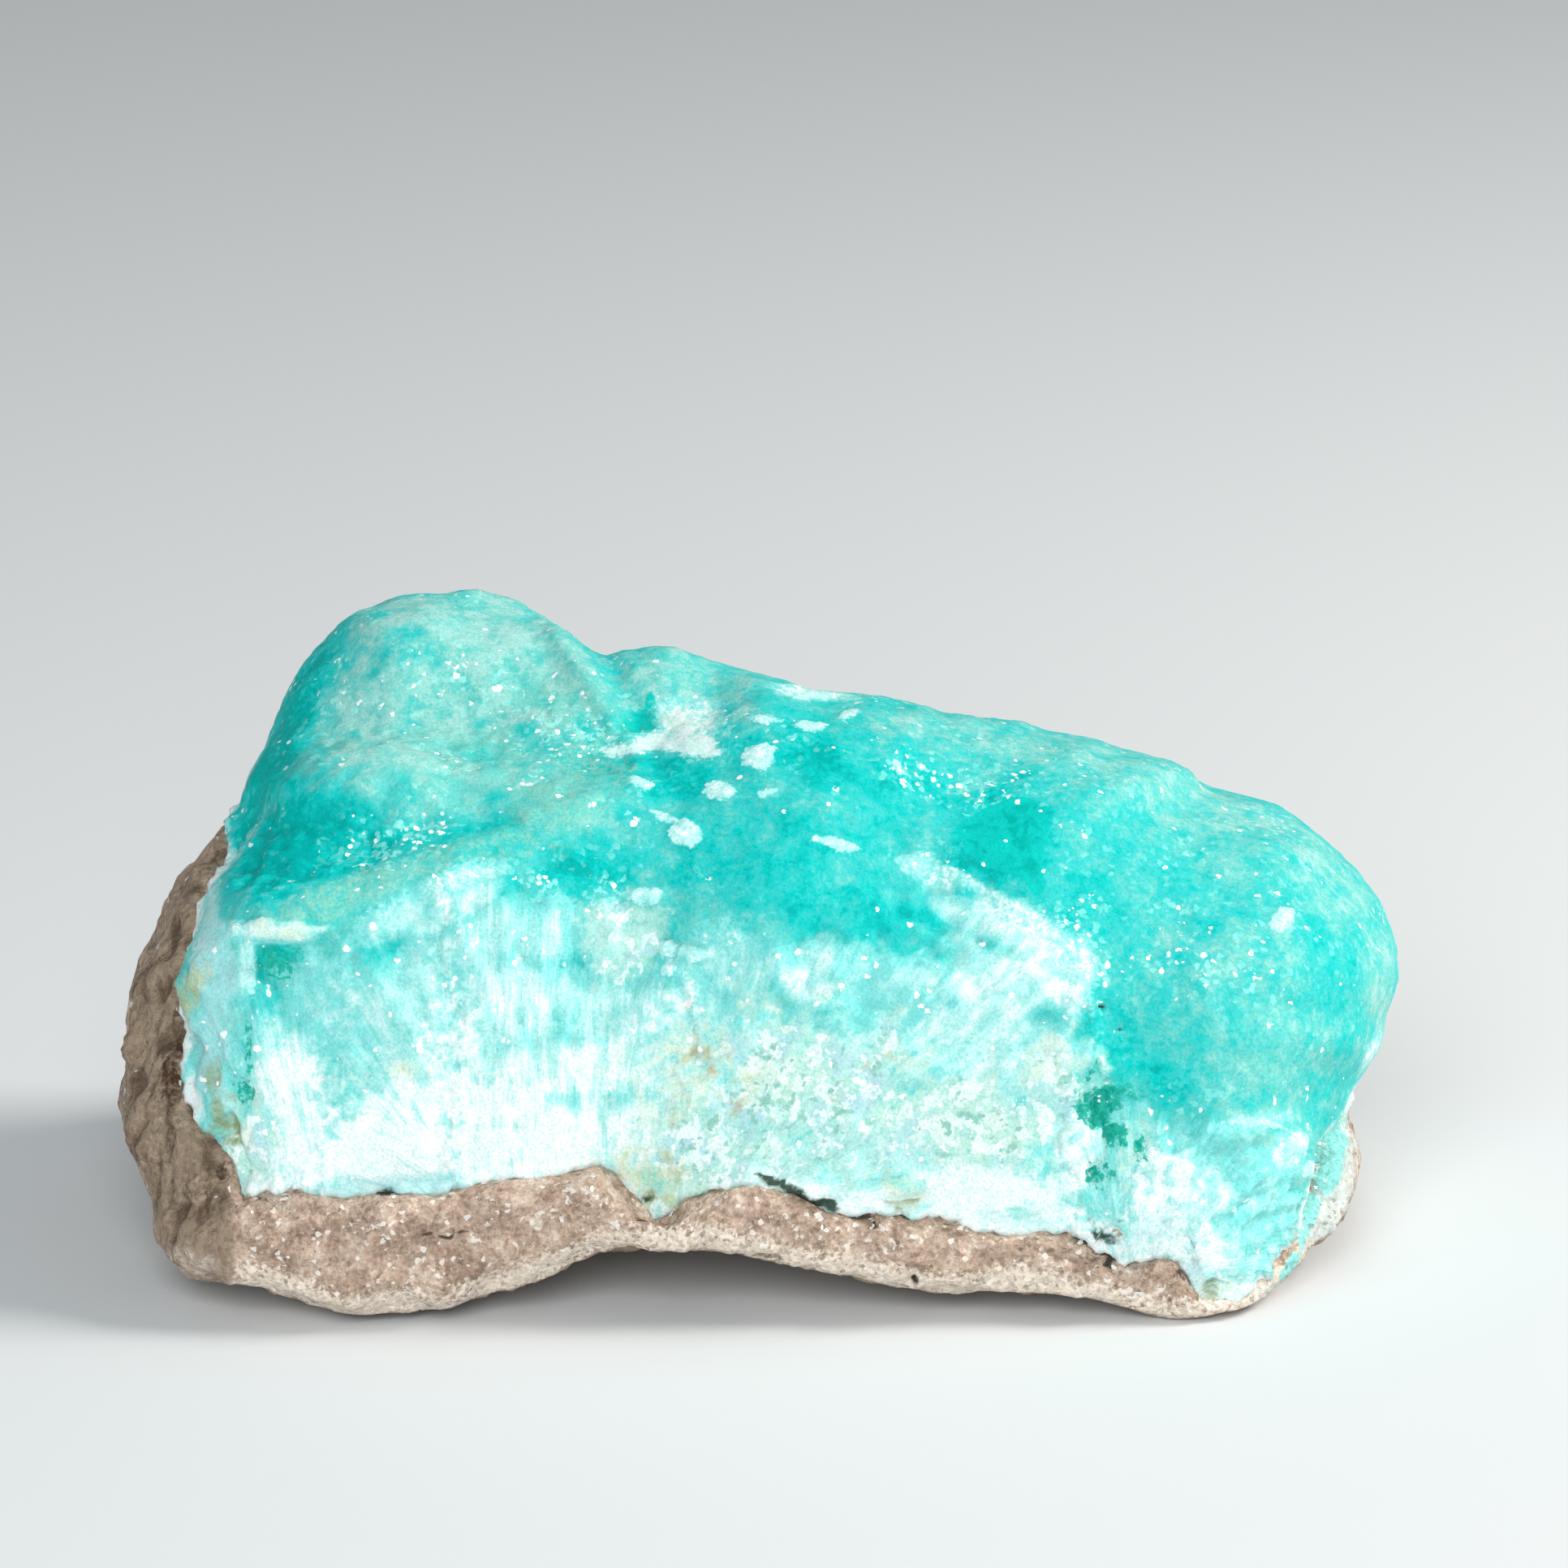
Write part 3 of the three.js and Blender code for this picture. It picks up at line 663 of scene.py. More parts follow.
# Crystal rosettes and ledges: the height is in the place of the strength.
RAISED = [
    (860, 895, 50, 34, 0, 0.15), (790, 1105, 14, 12, 0, 0.4), (809, 1106, 12, 12, 0, 0.35),
    (822, 1168, 12, 10, 0, 0.35), (826, 1194, 11, 10, 0, 0.3), (862, 1174, 22, 9, 0, 0.3),
    (345, 1146, 50, 10, 4, 0.6), (980, 1212, 20, 30, -30, 0.4), (1270, 1165, 90, 24, 34, 0.2),
    (1597, 1410, 14, 16, 20, 0.4), (1290, 1310, 50, 42, 0, 0.4), (755, 1165, 30, 48, 0, 0.4),
    (300, 1240, 16, 100, 0, 0.5), (470, 955, 120, 40, -8, 0.5), (640, 985, 100, 26, 12, 0.3),
    (1530, 1400, 60, 12, -4, 0.4), (1440, 1420, 40, 20, 20, 0.4), (1340, 1260, 20, 50, 0, 0.3),
    (690, 1320, 20, 60, 2, 0.3), (620, 1210, 16, 60, 2, 0.3), (480, 1230, 16, 60, -30, 0.3),
]

# ---------------------------------------------------------------- the two grown shapes

GRID = 0.37
# The farthest that each piece's distance from the other is measured.
FAR_FROM_ROCK = 9.0
FAR_FROM_CRUST = 3.0
# Rounds of evening out, how firmly a piece is held near the other one, and between which distances from
# it. The rock is also held at its foot.
CRUST_ROUNDS = 36
ROCK_ROUNDS = 10
HOLD = 0.85
CRUST_HELD = (2.2, 0.8)
ROCK_HELD = (2.0, 0.8)
FOOT_HELD = (0.8, 0.1)
# The soft valley between the tall knob and the small bump beside it, from the back to the front.
SADDLE = [(-13.5, 6.5), (-13.6, 2.0), (-13.2, -3.0), (-12.0, -7.5)]
# The knob's right flank, which comes down to the saddle without a hollow.
FLANK = [(-17.0, 4.2), (-14.0, 2.6), (-13.0, 0.5)]
# Both are filled on the top of the crust alone: the line, the rise and the distances from the line
# between which it rises, then the rounds of evening out and the distances between which they work.
FILLS = [(SADDLE, 2.9, (5.2, 0.8), 500, (8.0, 4.0)), (FLANK, 0.95, (4.6, 0.4), 60, (8.0, 5.0))]
TOP_FROM = 26.0

crust = fine_copy("smithsonite_crust", "smithsonite_crust_grown", GRID)
rock = fine_copy("matrix_rock", "carbonate_bed_rock", GRID)
crust_points = read_points(crust.data)
rock_points = read_points(rock.data)
crust_to_rock = distance_to("matrix_rock", crust_points, FAR_FROM_ROCK)
rock_to_crust = distance_to("smithsonite_crust", rock_points, FAR_FROM_CRUST)

crust_edges, rock_edges = (read(piece.data.edges, "vertices", 2, np.int32) for piece in (crust, rock))
crust_points = even_out(crust_points, crust_edges, CRUST_ROUNDS, HOLD * ease(*CRUST_HELD, crust_to_rock))
for line, rise, rising, rounds, evened in FILLS:
    away = line_distance(crust_points[:, :2], line)
    away[crust_points[:, 2] < TOP_FROM] = np.inf
    crust_points[:, 2] += rise * ease(*rising, away)
    crust_points = even_out(crust_points, crust_edges, rounds, 1 - ease(*evened, away))
rock_held = np.maximum(HOLD * ease(*ROCK_HELD, rock_to_crust), ease(*FOOT_HELD, rock_points[:, 2]))
rock_points = even_out(rock_points, rock_edges, ROCK_ROUNDS, rock_held)
fit_outline([crust_points, rock_points])
fit_contact(crust_points, rock_points)
write_points(crust.data, crust_points)
write_points(rock.data, rock_points)

# ---------------------------------------------------------------- the crust's skin and broken face

# How far a point faces the camera where it begins to count as seen, and where it does fully. Below the
# least share it takes the rear's fibres.
SEEN = (-0.05, 0.25)
LEAST_SEEN = 0.02
# Noises are given by their strength, size in millimetres, seed and layers.
CRUST_FRAY = (0.45, 1.9, 5, 4)
# The upper edge of the broken face: how soft it is and how it wanders, in pixels.
BREAK_EDGE = (-16, 16)
BREAK_RAGGED = [(20, 2.4, 3, 1), (12, 0.9, 4, 1)]
# The rear is broken too where it faces back and lies far enough back.
REAR_FACES = (0.35, 0.7)
REAR_FROM = (12.0, 16.0)
# The unseen part of the crust whitens between these distances from the rock.
NEAR_ROCK = (8.0, 1.0)
NEAR_ROCK_WAVES = (1.5, 3.0, 8, 1)
# How far the borders of the fans wander, in pixels.
FIBRE_WANDER = (26, 3.5, 21, 1)
# Lumps: their height on the skin, what the broken face adds to it, their size and seed.
CRUST_LUMPS = [(0.24, 0.0, 6.0, 31), (0.13, 0.09, 2.6, 33), (0.04, 0.06, 1.3, 35), (0.04, 0.17, 0.85, 47)]
# Bundles of fibres: their height, how the noise is squeezed across, along and from fan to fan, their seed.
BUNDLES = [(0.45, (1 / 1.5, 1 / 7.0, 1.0), 41), (0.34, (1.5, 0.4, 1.0), 43)]
# The broken face steps up and down in shelves: their noise in steps, and the height of a step.
SHELVES = (2.4, 4.0, 45, 3)
SHELF_HEIGHT = 0.15
# How far the broken face lies below the skin.
BREAK_DEPTH = 0.25
# Grains: their size, their seed, how far they are crowned and how unevenly they stand.
DRUSE_GRAINS = (0.95, 51, 0.08, 0.07)
CRUMB_GRAINS = (1.0, 53, 0.26, 0.34)
RIDGE_HEIGHT = 0.55
RIDGE_WIDTH = 64
RIDGE_FRAY = 26
FLAKE_HEIGHT = 0.18
FLAKE_RISE = (0.3, 0.8)
# The relief fades towards the rock, and a ragged lip of crust covers the joint.
CRUST_RELIEF_FROM = (0.2, 1.4)
JOINT_REACH = (1.3, 0.7)
LIP_HEIGHT = 0.36
LIP_RAGGED = (0.42, 1.1, 49, 2)

# The crust's colour from 0, pale mint, to 1, deep turquoise.
TEAL = 0.52
DEEPER = 0.5
PALER = 0.42
REAR_TEAL_WAVES = (0.25, 7.0, 61, 1)
PATCHY_WAVES = [(0.30, 1.0, 67, 2), (0.16, 2.2, 69, 1)]
LEAST_PATCHY = 0.35
EVEN_WHERE_GLASSY = 0.6
GLASSY_WHERE_DEEP = 0.7
WHITE_FRAY = 0.6
# White towards the foot of the broken face: how strong, and between which heights over the contact.
FOOT_WHITE = [(0.45, (330, 90)), (0.9, (56, 16))]
REAR_WHITE = 0.95
REAR_SAGE = 0.3
REAR_SAGE_WAVES = (1, 8, 63, 1)
REAR_SAGE_FROM = (0, 0.6)
# The share of crowded faces, with their flecks and painted glints, away from their groups, before its
# noise.
GLINT_SHARE = 0.24
GLINT_WAVES = (0.36, 4, 65, 1)
# How far clean white hides the crumbs, and how far crumbs and seams hide the fibres.
CLEAN_OF_CRUMBS = 0.85
CRUMBS_UNFIBRED = 0.75
SEAM_UNFIBRED = 0.7
CRUST_STAINS = {
    "sage": SAGE, "cream": CREAM, "straw": STRAW, "rust": RUST, "pale_blue_and_shade": PALE_BLUE_AND_SHADE, "emerald": EMERALD,
    "hollow_shade": HOLLOW_SHADE, "olive": OLIVE, "glint": GLINTS,
}


def dress_crust():
    mesh = crust.data
    points, normals = read_points(mesh), read(mesh.vertex_normals, "vector", 3)
    pixels, _ = pixels_of(points)
    seen = ease(*SEEN, facing(points, normals))
    hidden = 1 - seen
    fray = swells(points, CRUST_FRAY)

    below_break = pixels[:, 1] - height_on(BREAK_LINE, pixels[:, 0])
    front_break = ease(*BREAK_EDGE, below_break + swells(points, *BREAK_RAGGED)) * seen
    rear_break = ease(*REAR_FACES, normals[:, 1]) * ease(*REAR_FROM, points[:, 1])
    broken = np.maximum(front_break, rear_break)

    wander = swells(points, FIBRE_WANDER)
    run = fibre_runs(pixels, wander)
    behind = seen < LEAST_SEEN
    run[behind] = np.stack([points[behind, 0], points[behind, 2], np.full(behind.sum(), REAR_FAN)], 1)
    seam = np.minimum(fan_seam(pixels, wander), seen)

    # Relief along the normals: lumps, fibre bundles, drusy grains, crumbs, pits and scales.
    flakes = patches(pixels, FLAKES)
    crumbly = spots(pixels, CRUMBLY, fray) * seen
    bundles = sum(high * waves(run * squeeze, 1.0, seed) for high, squeeze, seed in BUNDLES) * (1 - seam)
    shelves = np.round(swells(points, SHELVES)) * SHELF_HEIGHT
    relief = sum((high + more * broken) * waves(points, size, seed)
                 for high, more, size, seed in CRUST_LUMPS)
    relief += broken * (bundles + shelves - BREAK_DEPTH)
    relief += (1 - broken) * grains(points, *DRUSE_GRAINS)
    relief += crumbly * grains(points, *CRUMB_GRAINS)
    relief += RIDGE_HEIGHT * ease(RIDGE_WIDTH, 0, line_distance(pixels, RIDGE) + RIDGE_FRAY * fray) * seen
    relief += (heaped(pixels, RAISED, fray) - heaped(pixels, PITS, fray)) * seen
    relief += FLAKE_HEIGHT * ease(*FLAKE_RISE, flakes) * seen
    relief *= ease(*CRUST_RELIEF_FROM, crust_to_rock)
    relief += (LIP_HEIGHT + swells(points, LIP_RAGGED)) * ease(*JOINT_REACH, crust_to_rock)
    write_points(mesh, points + normals * relief[:, None])

    deep = spots(pixels, DEEP_TEAL_AND_SHADE, fray) * seen
    mint = spots(pixels, PALE_MINT, fray) * seen
    glassy = np.maximum(spots(pixels, GLASSY, fray), GLASSY_WHERE_DEEP * deep) * seen
    patchy = np.maximum(spots(pixels, PATCHY, fray) * seen, LEAST_PATCHY) * (1 - EVEN_WHERE_GLASSY * glassy)
    teal = TEAL + DEEPER * deep - PALER * mint + hidden * swells(points, REAR_TEAL_WAVES)
    teal += patchy * swells(points, *PATCHY_WAVES)
    above_contact = height_on(CONTACT, pixels[:, 0]) - pixels[:, 1]
    near_rock = ease(*NEAR_ROCK, crust_to_rock + swells(points, NEAR_ROCK_WAVES))
    white = spots(pixels, WHITE_PATCHES, WHITE_FRAY * fray) * seen
    white = np.maximum(white, REAR_WHITE * hidden * near_rock)
    for strength, heights in FOOT_WHITE:
        white = np.maximum(white, front_break * strength * ease(*heights, above_contact))
    felted = np.maximum(CRUMBS_UNFIBRED * crumbly, SEAM_UNFIBRED * seam)

    masks = {name: spots(pixels, places, fray) * seen for name, places in CRUST_STAINS.items()}
    masks["sage"] += REAR_SAGE * hidden * ease(*REAR_SAGE_FROM, swells(points, REAR_SAGE_WAVES))
    masks["glint"] = np.maximum(masks["glint"], GLINT_SHARE + swells(points, GLINT_WAVES))
    write_masks(mesh, {
        **masks, "teal": teal, "white": white, "broken": broken, "glassy": glassy,
        "flake": flakes * seen,
        "chip": patches(pixels, [CHIP]) * seen,
        "clear_deep": patches(pixels, CLEAR_DEEP) * seen,
        "crumbly": crumbly * (1 - CLEAN_OF_CRUMBS * spots(pixels, CLEAN_WHITE, fray)),
        "unfibred": np.maximum(felted, spots(pixels, CLOUDY, fray) * seen),
    })
    write_vectors(mesh, "fibre_run", run)


# ---------------------------------------------------------------- the rock

# Darker places on the rock, with the same six numbers as those on the crust: partly darker rock, partly
# painted shade under the crust's edge, in pits and along the lower edge.
ROCK_DARK_AND_SHADE = [
    (230, 1285, 24, 34, -20, 1.0), (228, 1250, 16, 9, 0, 0.9), (271, 1443, 9, 9, 0, 1.0),
    (215, 1350, 9, 50, 8, 0.6), (360, 1480, 46, 20, 0, 0.5), (450, 1520, 60, 30, 20, 0.35),
    (480, 1474, 26, 9, 0, 0.8), (911, 1546, 9, 4, 0, 0.9), (950, 1550, 30, 6, 6, 0.6),
    (1125, 1578, 5, 5, 0, 0.9), (1020, 1490, 60, 10, 12, 0.85), (1330, 1550, 60, 22, 30, 0.5),
    (1350, 1522, 34, 16, 30, 1.0), (1450, 1580, 26, 14, 0, 0.4), (250, 1480, 26, 60, 10, 0.35),
    (340, 1550, 60, 16, 20, 0.4), (600, 1500, 50, 24, 0, 0.3), (520, 1540, 60, 16, -10, 0.35),
]
# The dark places that are hollows, each group after its depth.
HOLLOWS = [(0.9, ROCK_DARK_AND_SHADE[:3]), (0.35, ROCK_DARK_AND_SHADE[7:10])]
# Paler places on the rock, with the same numbers: paler rock at the right end, and painted light thrown up
# from the floor along the lower edge.
ROCK_PALE_AND_FLOOR_LIT = [
    (330, 1590, 90, 14, 8, 0.8), (470, 1612, 120, 16, 0, 0.9), (640, 1580, 90, 14, -25, 0.9),
    (850, 1535, 120, 10, 0, 0.7), (1100, 1576, 160, 12, 8, 0.8), (1320, 1592, 120, 12, 8, 0.8),
    (1400, 1560, 30, 14, -10, 0.7), (240, 1560, 40, 26, 30, 0.7), (850, 1510, 60, 20, 0, 0.4),
    (1660, 1450, 26, 80, 14, 0.9), (1620, 1530, 30, 40, 30, 0.6), (1690, 1300, 20, 40, 20, 0.9),
    (1680, 1400, 40, 60, 20, 1.0),
]
# Painted shadow in the gaps under the edge of the crust, and painted shade in dark pits.
GAP_SHADOWS = [
    (985, 1473, 56, 8, 22, 1.0), (1050, 1499, 44, 8, 16, 0.8), (1112, 1501, 34, 6, 6, 0.7),
    (1352, 1537, 38, 11, 32, 1.0), (474, 1476, 20, 6, 0, 0.9), (330, 1484, 30, 5, 0, 0.45),
    (271, 1443, 7, 12, 0, 0.55), (236, 1276, 10, 13, 10, 1.0), (226, 1297, 9, 9, 0, 0.8),
    (911, 1547, 8, 3, 0, 0.9), (1126, 1578, 5, 4, 0, 0.8), (228, 1251, 9, 6, 0, 0.8),
    (1460, 1578, 26, 6, 40, 0.6), (700, 1440, 60, 4, -20, 0.5),
]
# Turquoise film that runs from the crust over the edge of the rock.
FILM = [(1638, 1425, 24, 52, 16, 1.0), (1612, 1500, 12, 40, 24, 0.9), (1585, 1562, 10, 24, 34, 0.8)]
# Thin white smithsonite that covers the rock beside the crust.
RIME = [
    (1668, 1400, 34, 100, 12, 1.0), (1640, 1500, 24, 50, 30, 0.8), (1700, 1290, 18, 50, 20, 1.0),
    (1590, 1575, 50, 14, -30, 0.6),
]
ROCK_RUST = [(212, 1320, 9, 60, 6, 0.9), (240, 1270, 20, 20, 0, 0.5)]
ROCK_STAINS = {
    "dark_and_shade": ROCK_DARK_AND_SHADE, "pale_and_floor_lit": ROCK_PALE_AND_FLOOR_LIT, "rime": RIME, "film": FILM, "gap": GAP_SHADOWS, "rust": ROCK_RUST,
}
CRACK = [(521, 1521), (536, 1524), (550, 1527), (562, 1522), (578, 1516), (594, 1517)]
CRACK_DEPTH = 0.30
CRACK_WALLS = (4.5, 1.0)
# Painted shade in the crack: none beyond the first distance in pixels, full within the second.
CRACK_WIDTH = (3.5, 1.0)
ROCK_FRAY = (0.35, 1.3, 15, 2)
# The weathered face at the left, darkened with painted shade as it is turned from the light, and the bevel
# over the lower edge, paler with painted light thrown up from the floor, in pixels.
LEFT_FACE = (297, 273)
LEFT_FACE_WAVES = (8, 2.0, 17, 1)
LOWER_EDGE = [corner for corner in OUTLINE[::-1] if corner[1] > 1538]
BEVEL = (34, 20)
BEVEL_WAVES = (8, 2.4, 19, 1)
ROCK_LUMPS = [(0.48, 4.2, 71, 1), (0.30, 1.9, 73, 1)]
ROCK_PITS = (0.196, 1.1, 75, 2)
SUGAR_GRAINS = (0.8, 77, 0.20, 0.26)
SMOOTH_ON_BEVEL = 0.6
# The grooves are drawn out upwards and lean over: rows are what x, y and z add to the noise's places.
GROOVE_LIE = np.array([[1, 0, 0.3], [0, 1, 0], [0, 0, 0.22]])
GROOVE_SIZE = 1.3
GROOVE_SEED = 79
GROOVE_DEPTH = 0.45
# Painted shade darkens the grooves of the left face where they lie deepest, between these heights of their
# noise.
GROOVE_SHADE_SPAN = (0.25, -0.55)
# Chipped edges stand out along the middle lines of a broad noise.
CHIP_HEIGHT = 0.35
CHIP_SIZE = 3.1
CHIP_SEED = 85
CHIP_SLOPE = 1.6
# The relief fades towards the crust, the floor and the edge that the camera sees.
ROCK_RELIEF_FROM = (0.2, 1.6)
FLOOR_RELIEF_FROM = (0.0, 1.2)
EDGE_TURN = (0.35, 0.1)
EDGE_CALM = 0.55
ROCK_LIP = 0.28
REAR_WEATHERED_WAVES = (1, 9, 81, 1)
REAR_WEATHERED_FROM = (-0.2, 0.5)


def dress_rock():
    mesh = rock.data
    points, normals = read_points(mesh), read(mesh.vertex_normals, "vector", 3)
    pixels, _ = pixels_of(points)
    turned = facing(points, normals)
    seen = ease(*SEEN, turned)
    fray = swells(points, ROCK_FRAY)
    left_face = ease(*LEFT_FACE, pixels[:, 0] + swells(points, LEFT_FACE_WAVES)) * seen
    above_edge = height_on(LOWER_EDGE, pixels[:, 0]) - pixels[:, 1]
    floor_lit_bevel = ease(*BEVEL, above_edge + swells(points, BEVEL_WAVES)) * seen * (1 - left_face)
    from_crack = line_distance(pixels, CRACK)
    grooves = waves(points @ GROOVE_LIE, GROOVE_SIZE, GROOVE_SEED)

    relief = swells(points, *ROCK_LUMPS) + GROOVE_DEPTH * left_face * grooves
    relief += CHIP_HEIGHT * (0.5 - CHIP_SLOPE * np.abs(waves(points, CHIP_SIZE, CHIP_SEED)))
    relief += (1 - SMOOTH_ON_BEVEL * floor_lit_bevel) * (swells(points, ROCK_PITS) + grains(points, *SUGAR_GRAINS))
    relief -= CRACK_DEPTH * ease(*CRACK_WALLS, from_crack) * seen
    for depth, places in HOLLOWS:
        relief -= depth * spots(pixels, places, fray) * seen
    relief *= ease(*ROCK_RELIEF_FROM, rock_to_crust) * ease(*FLOOR_RELIEF_FROM, points[:, 2])
    relief *= 1 - EDGE_CALM * ease(*EDGE_TURN, np.abs(turned))
    relief += ROCK_LIP * ease(*JOINT_REACH, rock_to_crust)
    carved = points + normals * relief[:, None]
    carved[:, 2] = np.maximum(carved[:, 2], 0)
    write_points(mesh, carved)

    rear_weathered = (1 - seen) * ease(*REAR_WEATHERED_FROM, swells(carved, REAR_WEATHERED_WAVES))
    write_masks(mesh, {
        "weathered_and_shaded": np.maximum(left_face, rear_weathered),
        "floor_lit_bevel": floor_lit_bevel,
        "groove_shade": left_face * ease(*GROOVE_SHADE_SPAN, grooves),
        "crack_shade": ease(*CRACK_WIDTH, from_crack) * seen,
        **{name: spots(pixels, places, fray) * seen for name, places in ROCK_STAINS.items()},
    })


def fit_relief():
    """Brings the outline back to its line after the relief has moved it."""
    shapes = [read_points(crust.data), read_points(rock.data)]
    fit_outline(shapes)
    for piece, points in zip((crust, rock), shapes):
        write_points(piece.data, points)


dress_crust()
dress_rock()
fit_relief()

# ---------------------------------------------------------------- materials


def linear(colour):
    """An sRGB hex colour as linear numbers."""
    parts = [int(colour[i:i + 2], 16) / 255 for i in (1, 3, 5)]
    return [p / 12.92 if p <= 0.04045 else ((p + 0.055) / 1.055) ** 2.4 for p in parts] + [1.0]


def add(tree, kind, inputs=None, out=0, stops=(), **settings):
    """Adds a node with its settings and stops, sets or links its inputs, and gives one of its outputs."""
    node = tree.nodes.new("ShaderNode" + kind)
    for name, value in settings.items():
        setattr(node, name, value)
    for name, value in (inputs or {}).items():
        if isinstance(value, bpy.types.NodeSocket):
            tree.links.new(value, node.inputs[name])
        else:
            node.inputs[name].default_value = value
    for place, _ in stops[1:-1]:
        node.color_ramp.elements.new(place)
    for i, (place, colour) in enumerate(stops):
        stop = node.color_ramp.elements[i]
        stop.position, stop.color = place, linear(colour)
    return node.outputs[out] if len(node.outputs) else node


def new_material(name):
    material = bpy.data.materials.new(name)
    material.use_nodes = True
    material.node_tree.nodes.clear()
    return material, material.node_tree


def stirred(tree, value, noise, share):
    """A value moved up and down by a share of a noise that runs from 0 to 1."""
    centred = add(tree, "Math", {0: noise, 1: 0.5}, operation="SUBTRACT")
    return add(tree, "Math", {0: centred, 1: share, 2: value}, operation="MULTIPLY_ADD")


# A layer has its full strength where its mask is above this.
MASK_EDGE = 0.2


def layered(tree, colour, noises, layers):
    """Lays colours over a colour. A layer is its mask, the noise that frays it and by how much, where it
    starts and where it is full, and its colour. It keeps to where its mask is above nothing."""
    for mask, noise, fray, start, full, paint in layers:
        cover = add(tree, "Attribute", out=2, attribute_name=mask)
        there = add(tree, "MapRange", {0: cover, 2: MASK_EDGE})
        cover = stirred(tree, cover, noises[noise], fray)
        cover = add(tree, "MapRange", {0: cover, 1: start, 2: full, 4: there},
                    interpolation_type="SMOOTHSTEP")
        colour = add(tree, "Mix", {0: cover, 6: colour, 7: linear(paint)}, out=2, data_type="RGBA")
    return colour


def facets(tree, cell_colour, lean):
    """The normals of crystal faces: each leans its own way, by the colour of its cell."""
    tilt = add(tree, "VectorMath", {0: cell_colour, 1: (0.5, 0.5, 0.5)}, operation="SUBTRACT")
    tilt = add(tree, "VectorMath", {0: tilt, 3: lean}, operation="SCALE")
    skin = add(tree, "NewGeometry", out=1)
    leaning = add(tree, "VectorMath", {0: skin, 1: tilt}, operation="ADD")
    return add(tree, "VectorMath", {0: leaning}, operation="NORMALIZE")


# Smithsonite is zinc carbonate: glassy to pearly, bright for a carbonate, and lit from inside by light
# that scatters a millimetre or two deep. The skin is sugared with tiny crystals that flash one by one: each
# flash is a painted white point under a glossy coat.
SMITHSONITE_IOR = 1.62
SMITHSONITE_DEPTH = 0.5
CRYSTAL_IOR = 1.8
# The crystals of the druse, and how far their outlines are jogged by a noise of a size.
DRUSE_CRYSTAL = 0.36
DRUSE_LEAN = 1.1
JOG = 0.22
JOG_SIZE = 0.4
FIBRE_WIDTH = 0.27
FIBRE_LENGTH = 2.4
# How the noises of fibres and of bundles are squeezed across, along and from fan to fan.
FIBRE_LIE = (1 / FIBRE_WIDTH, 1 / FIBRE_LENGTH, 1.0)
BUNDLE_LIE = (1.0, 0.22, 1.0)
# The crust's noises: the size of their features in millimetres, and their settings.
CRUST_NOISES = {
    "broad": (3.0, {"Detail": 4.0, "Roughness": 0.6}),
    "mid": (1.2, {"Detail": 4.0, "Distortion": 0.5}),
    "fine": (0.5, {"Detail": 4.0, "Roughness": 0.7}),
    "crumb": (0.2, {"Detail": 2.0, "Roughness": 0.6}),
    "lumpy": (0.9, {"Detail": 2.5, "Roughness": 0.55}),
}
# Where the noises that fray the layers are stretched to 0 and to 1.
CRUST_SPANS = {"broad": (0.34, 0.66), "mid": (0.36, 0.64), "fine": (0.34, 0.66), "mixed": (0.38, 0.62)}
BUNDLE_SHARE = 0.52
LEAST_LUMPY = 0.15
# A face is a fleck, or is painted white as a glint, if its number is above the first where crystals lie
# apart, and above the second where they crowd. Flecks are this strong on druse, and on clear or broken
# places.
FLECK_FROM = (0.97, 0.64)
FLASH_FROM = (0.993, 0.80)
FLECK_STRENGTH = (0.80, 0.15)
# How far from its middle a face is painted white as a glint, in its own widths.
FLASH_REACH = (0.20, 0.85)
DRUSE_BUMP = 0.3
FLECK_COLOUR = "#A9F1EB"
SUGAR_SHADE = "#D6F1EF"
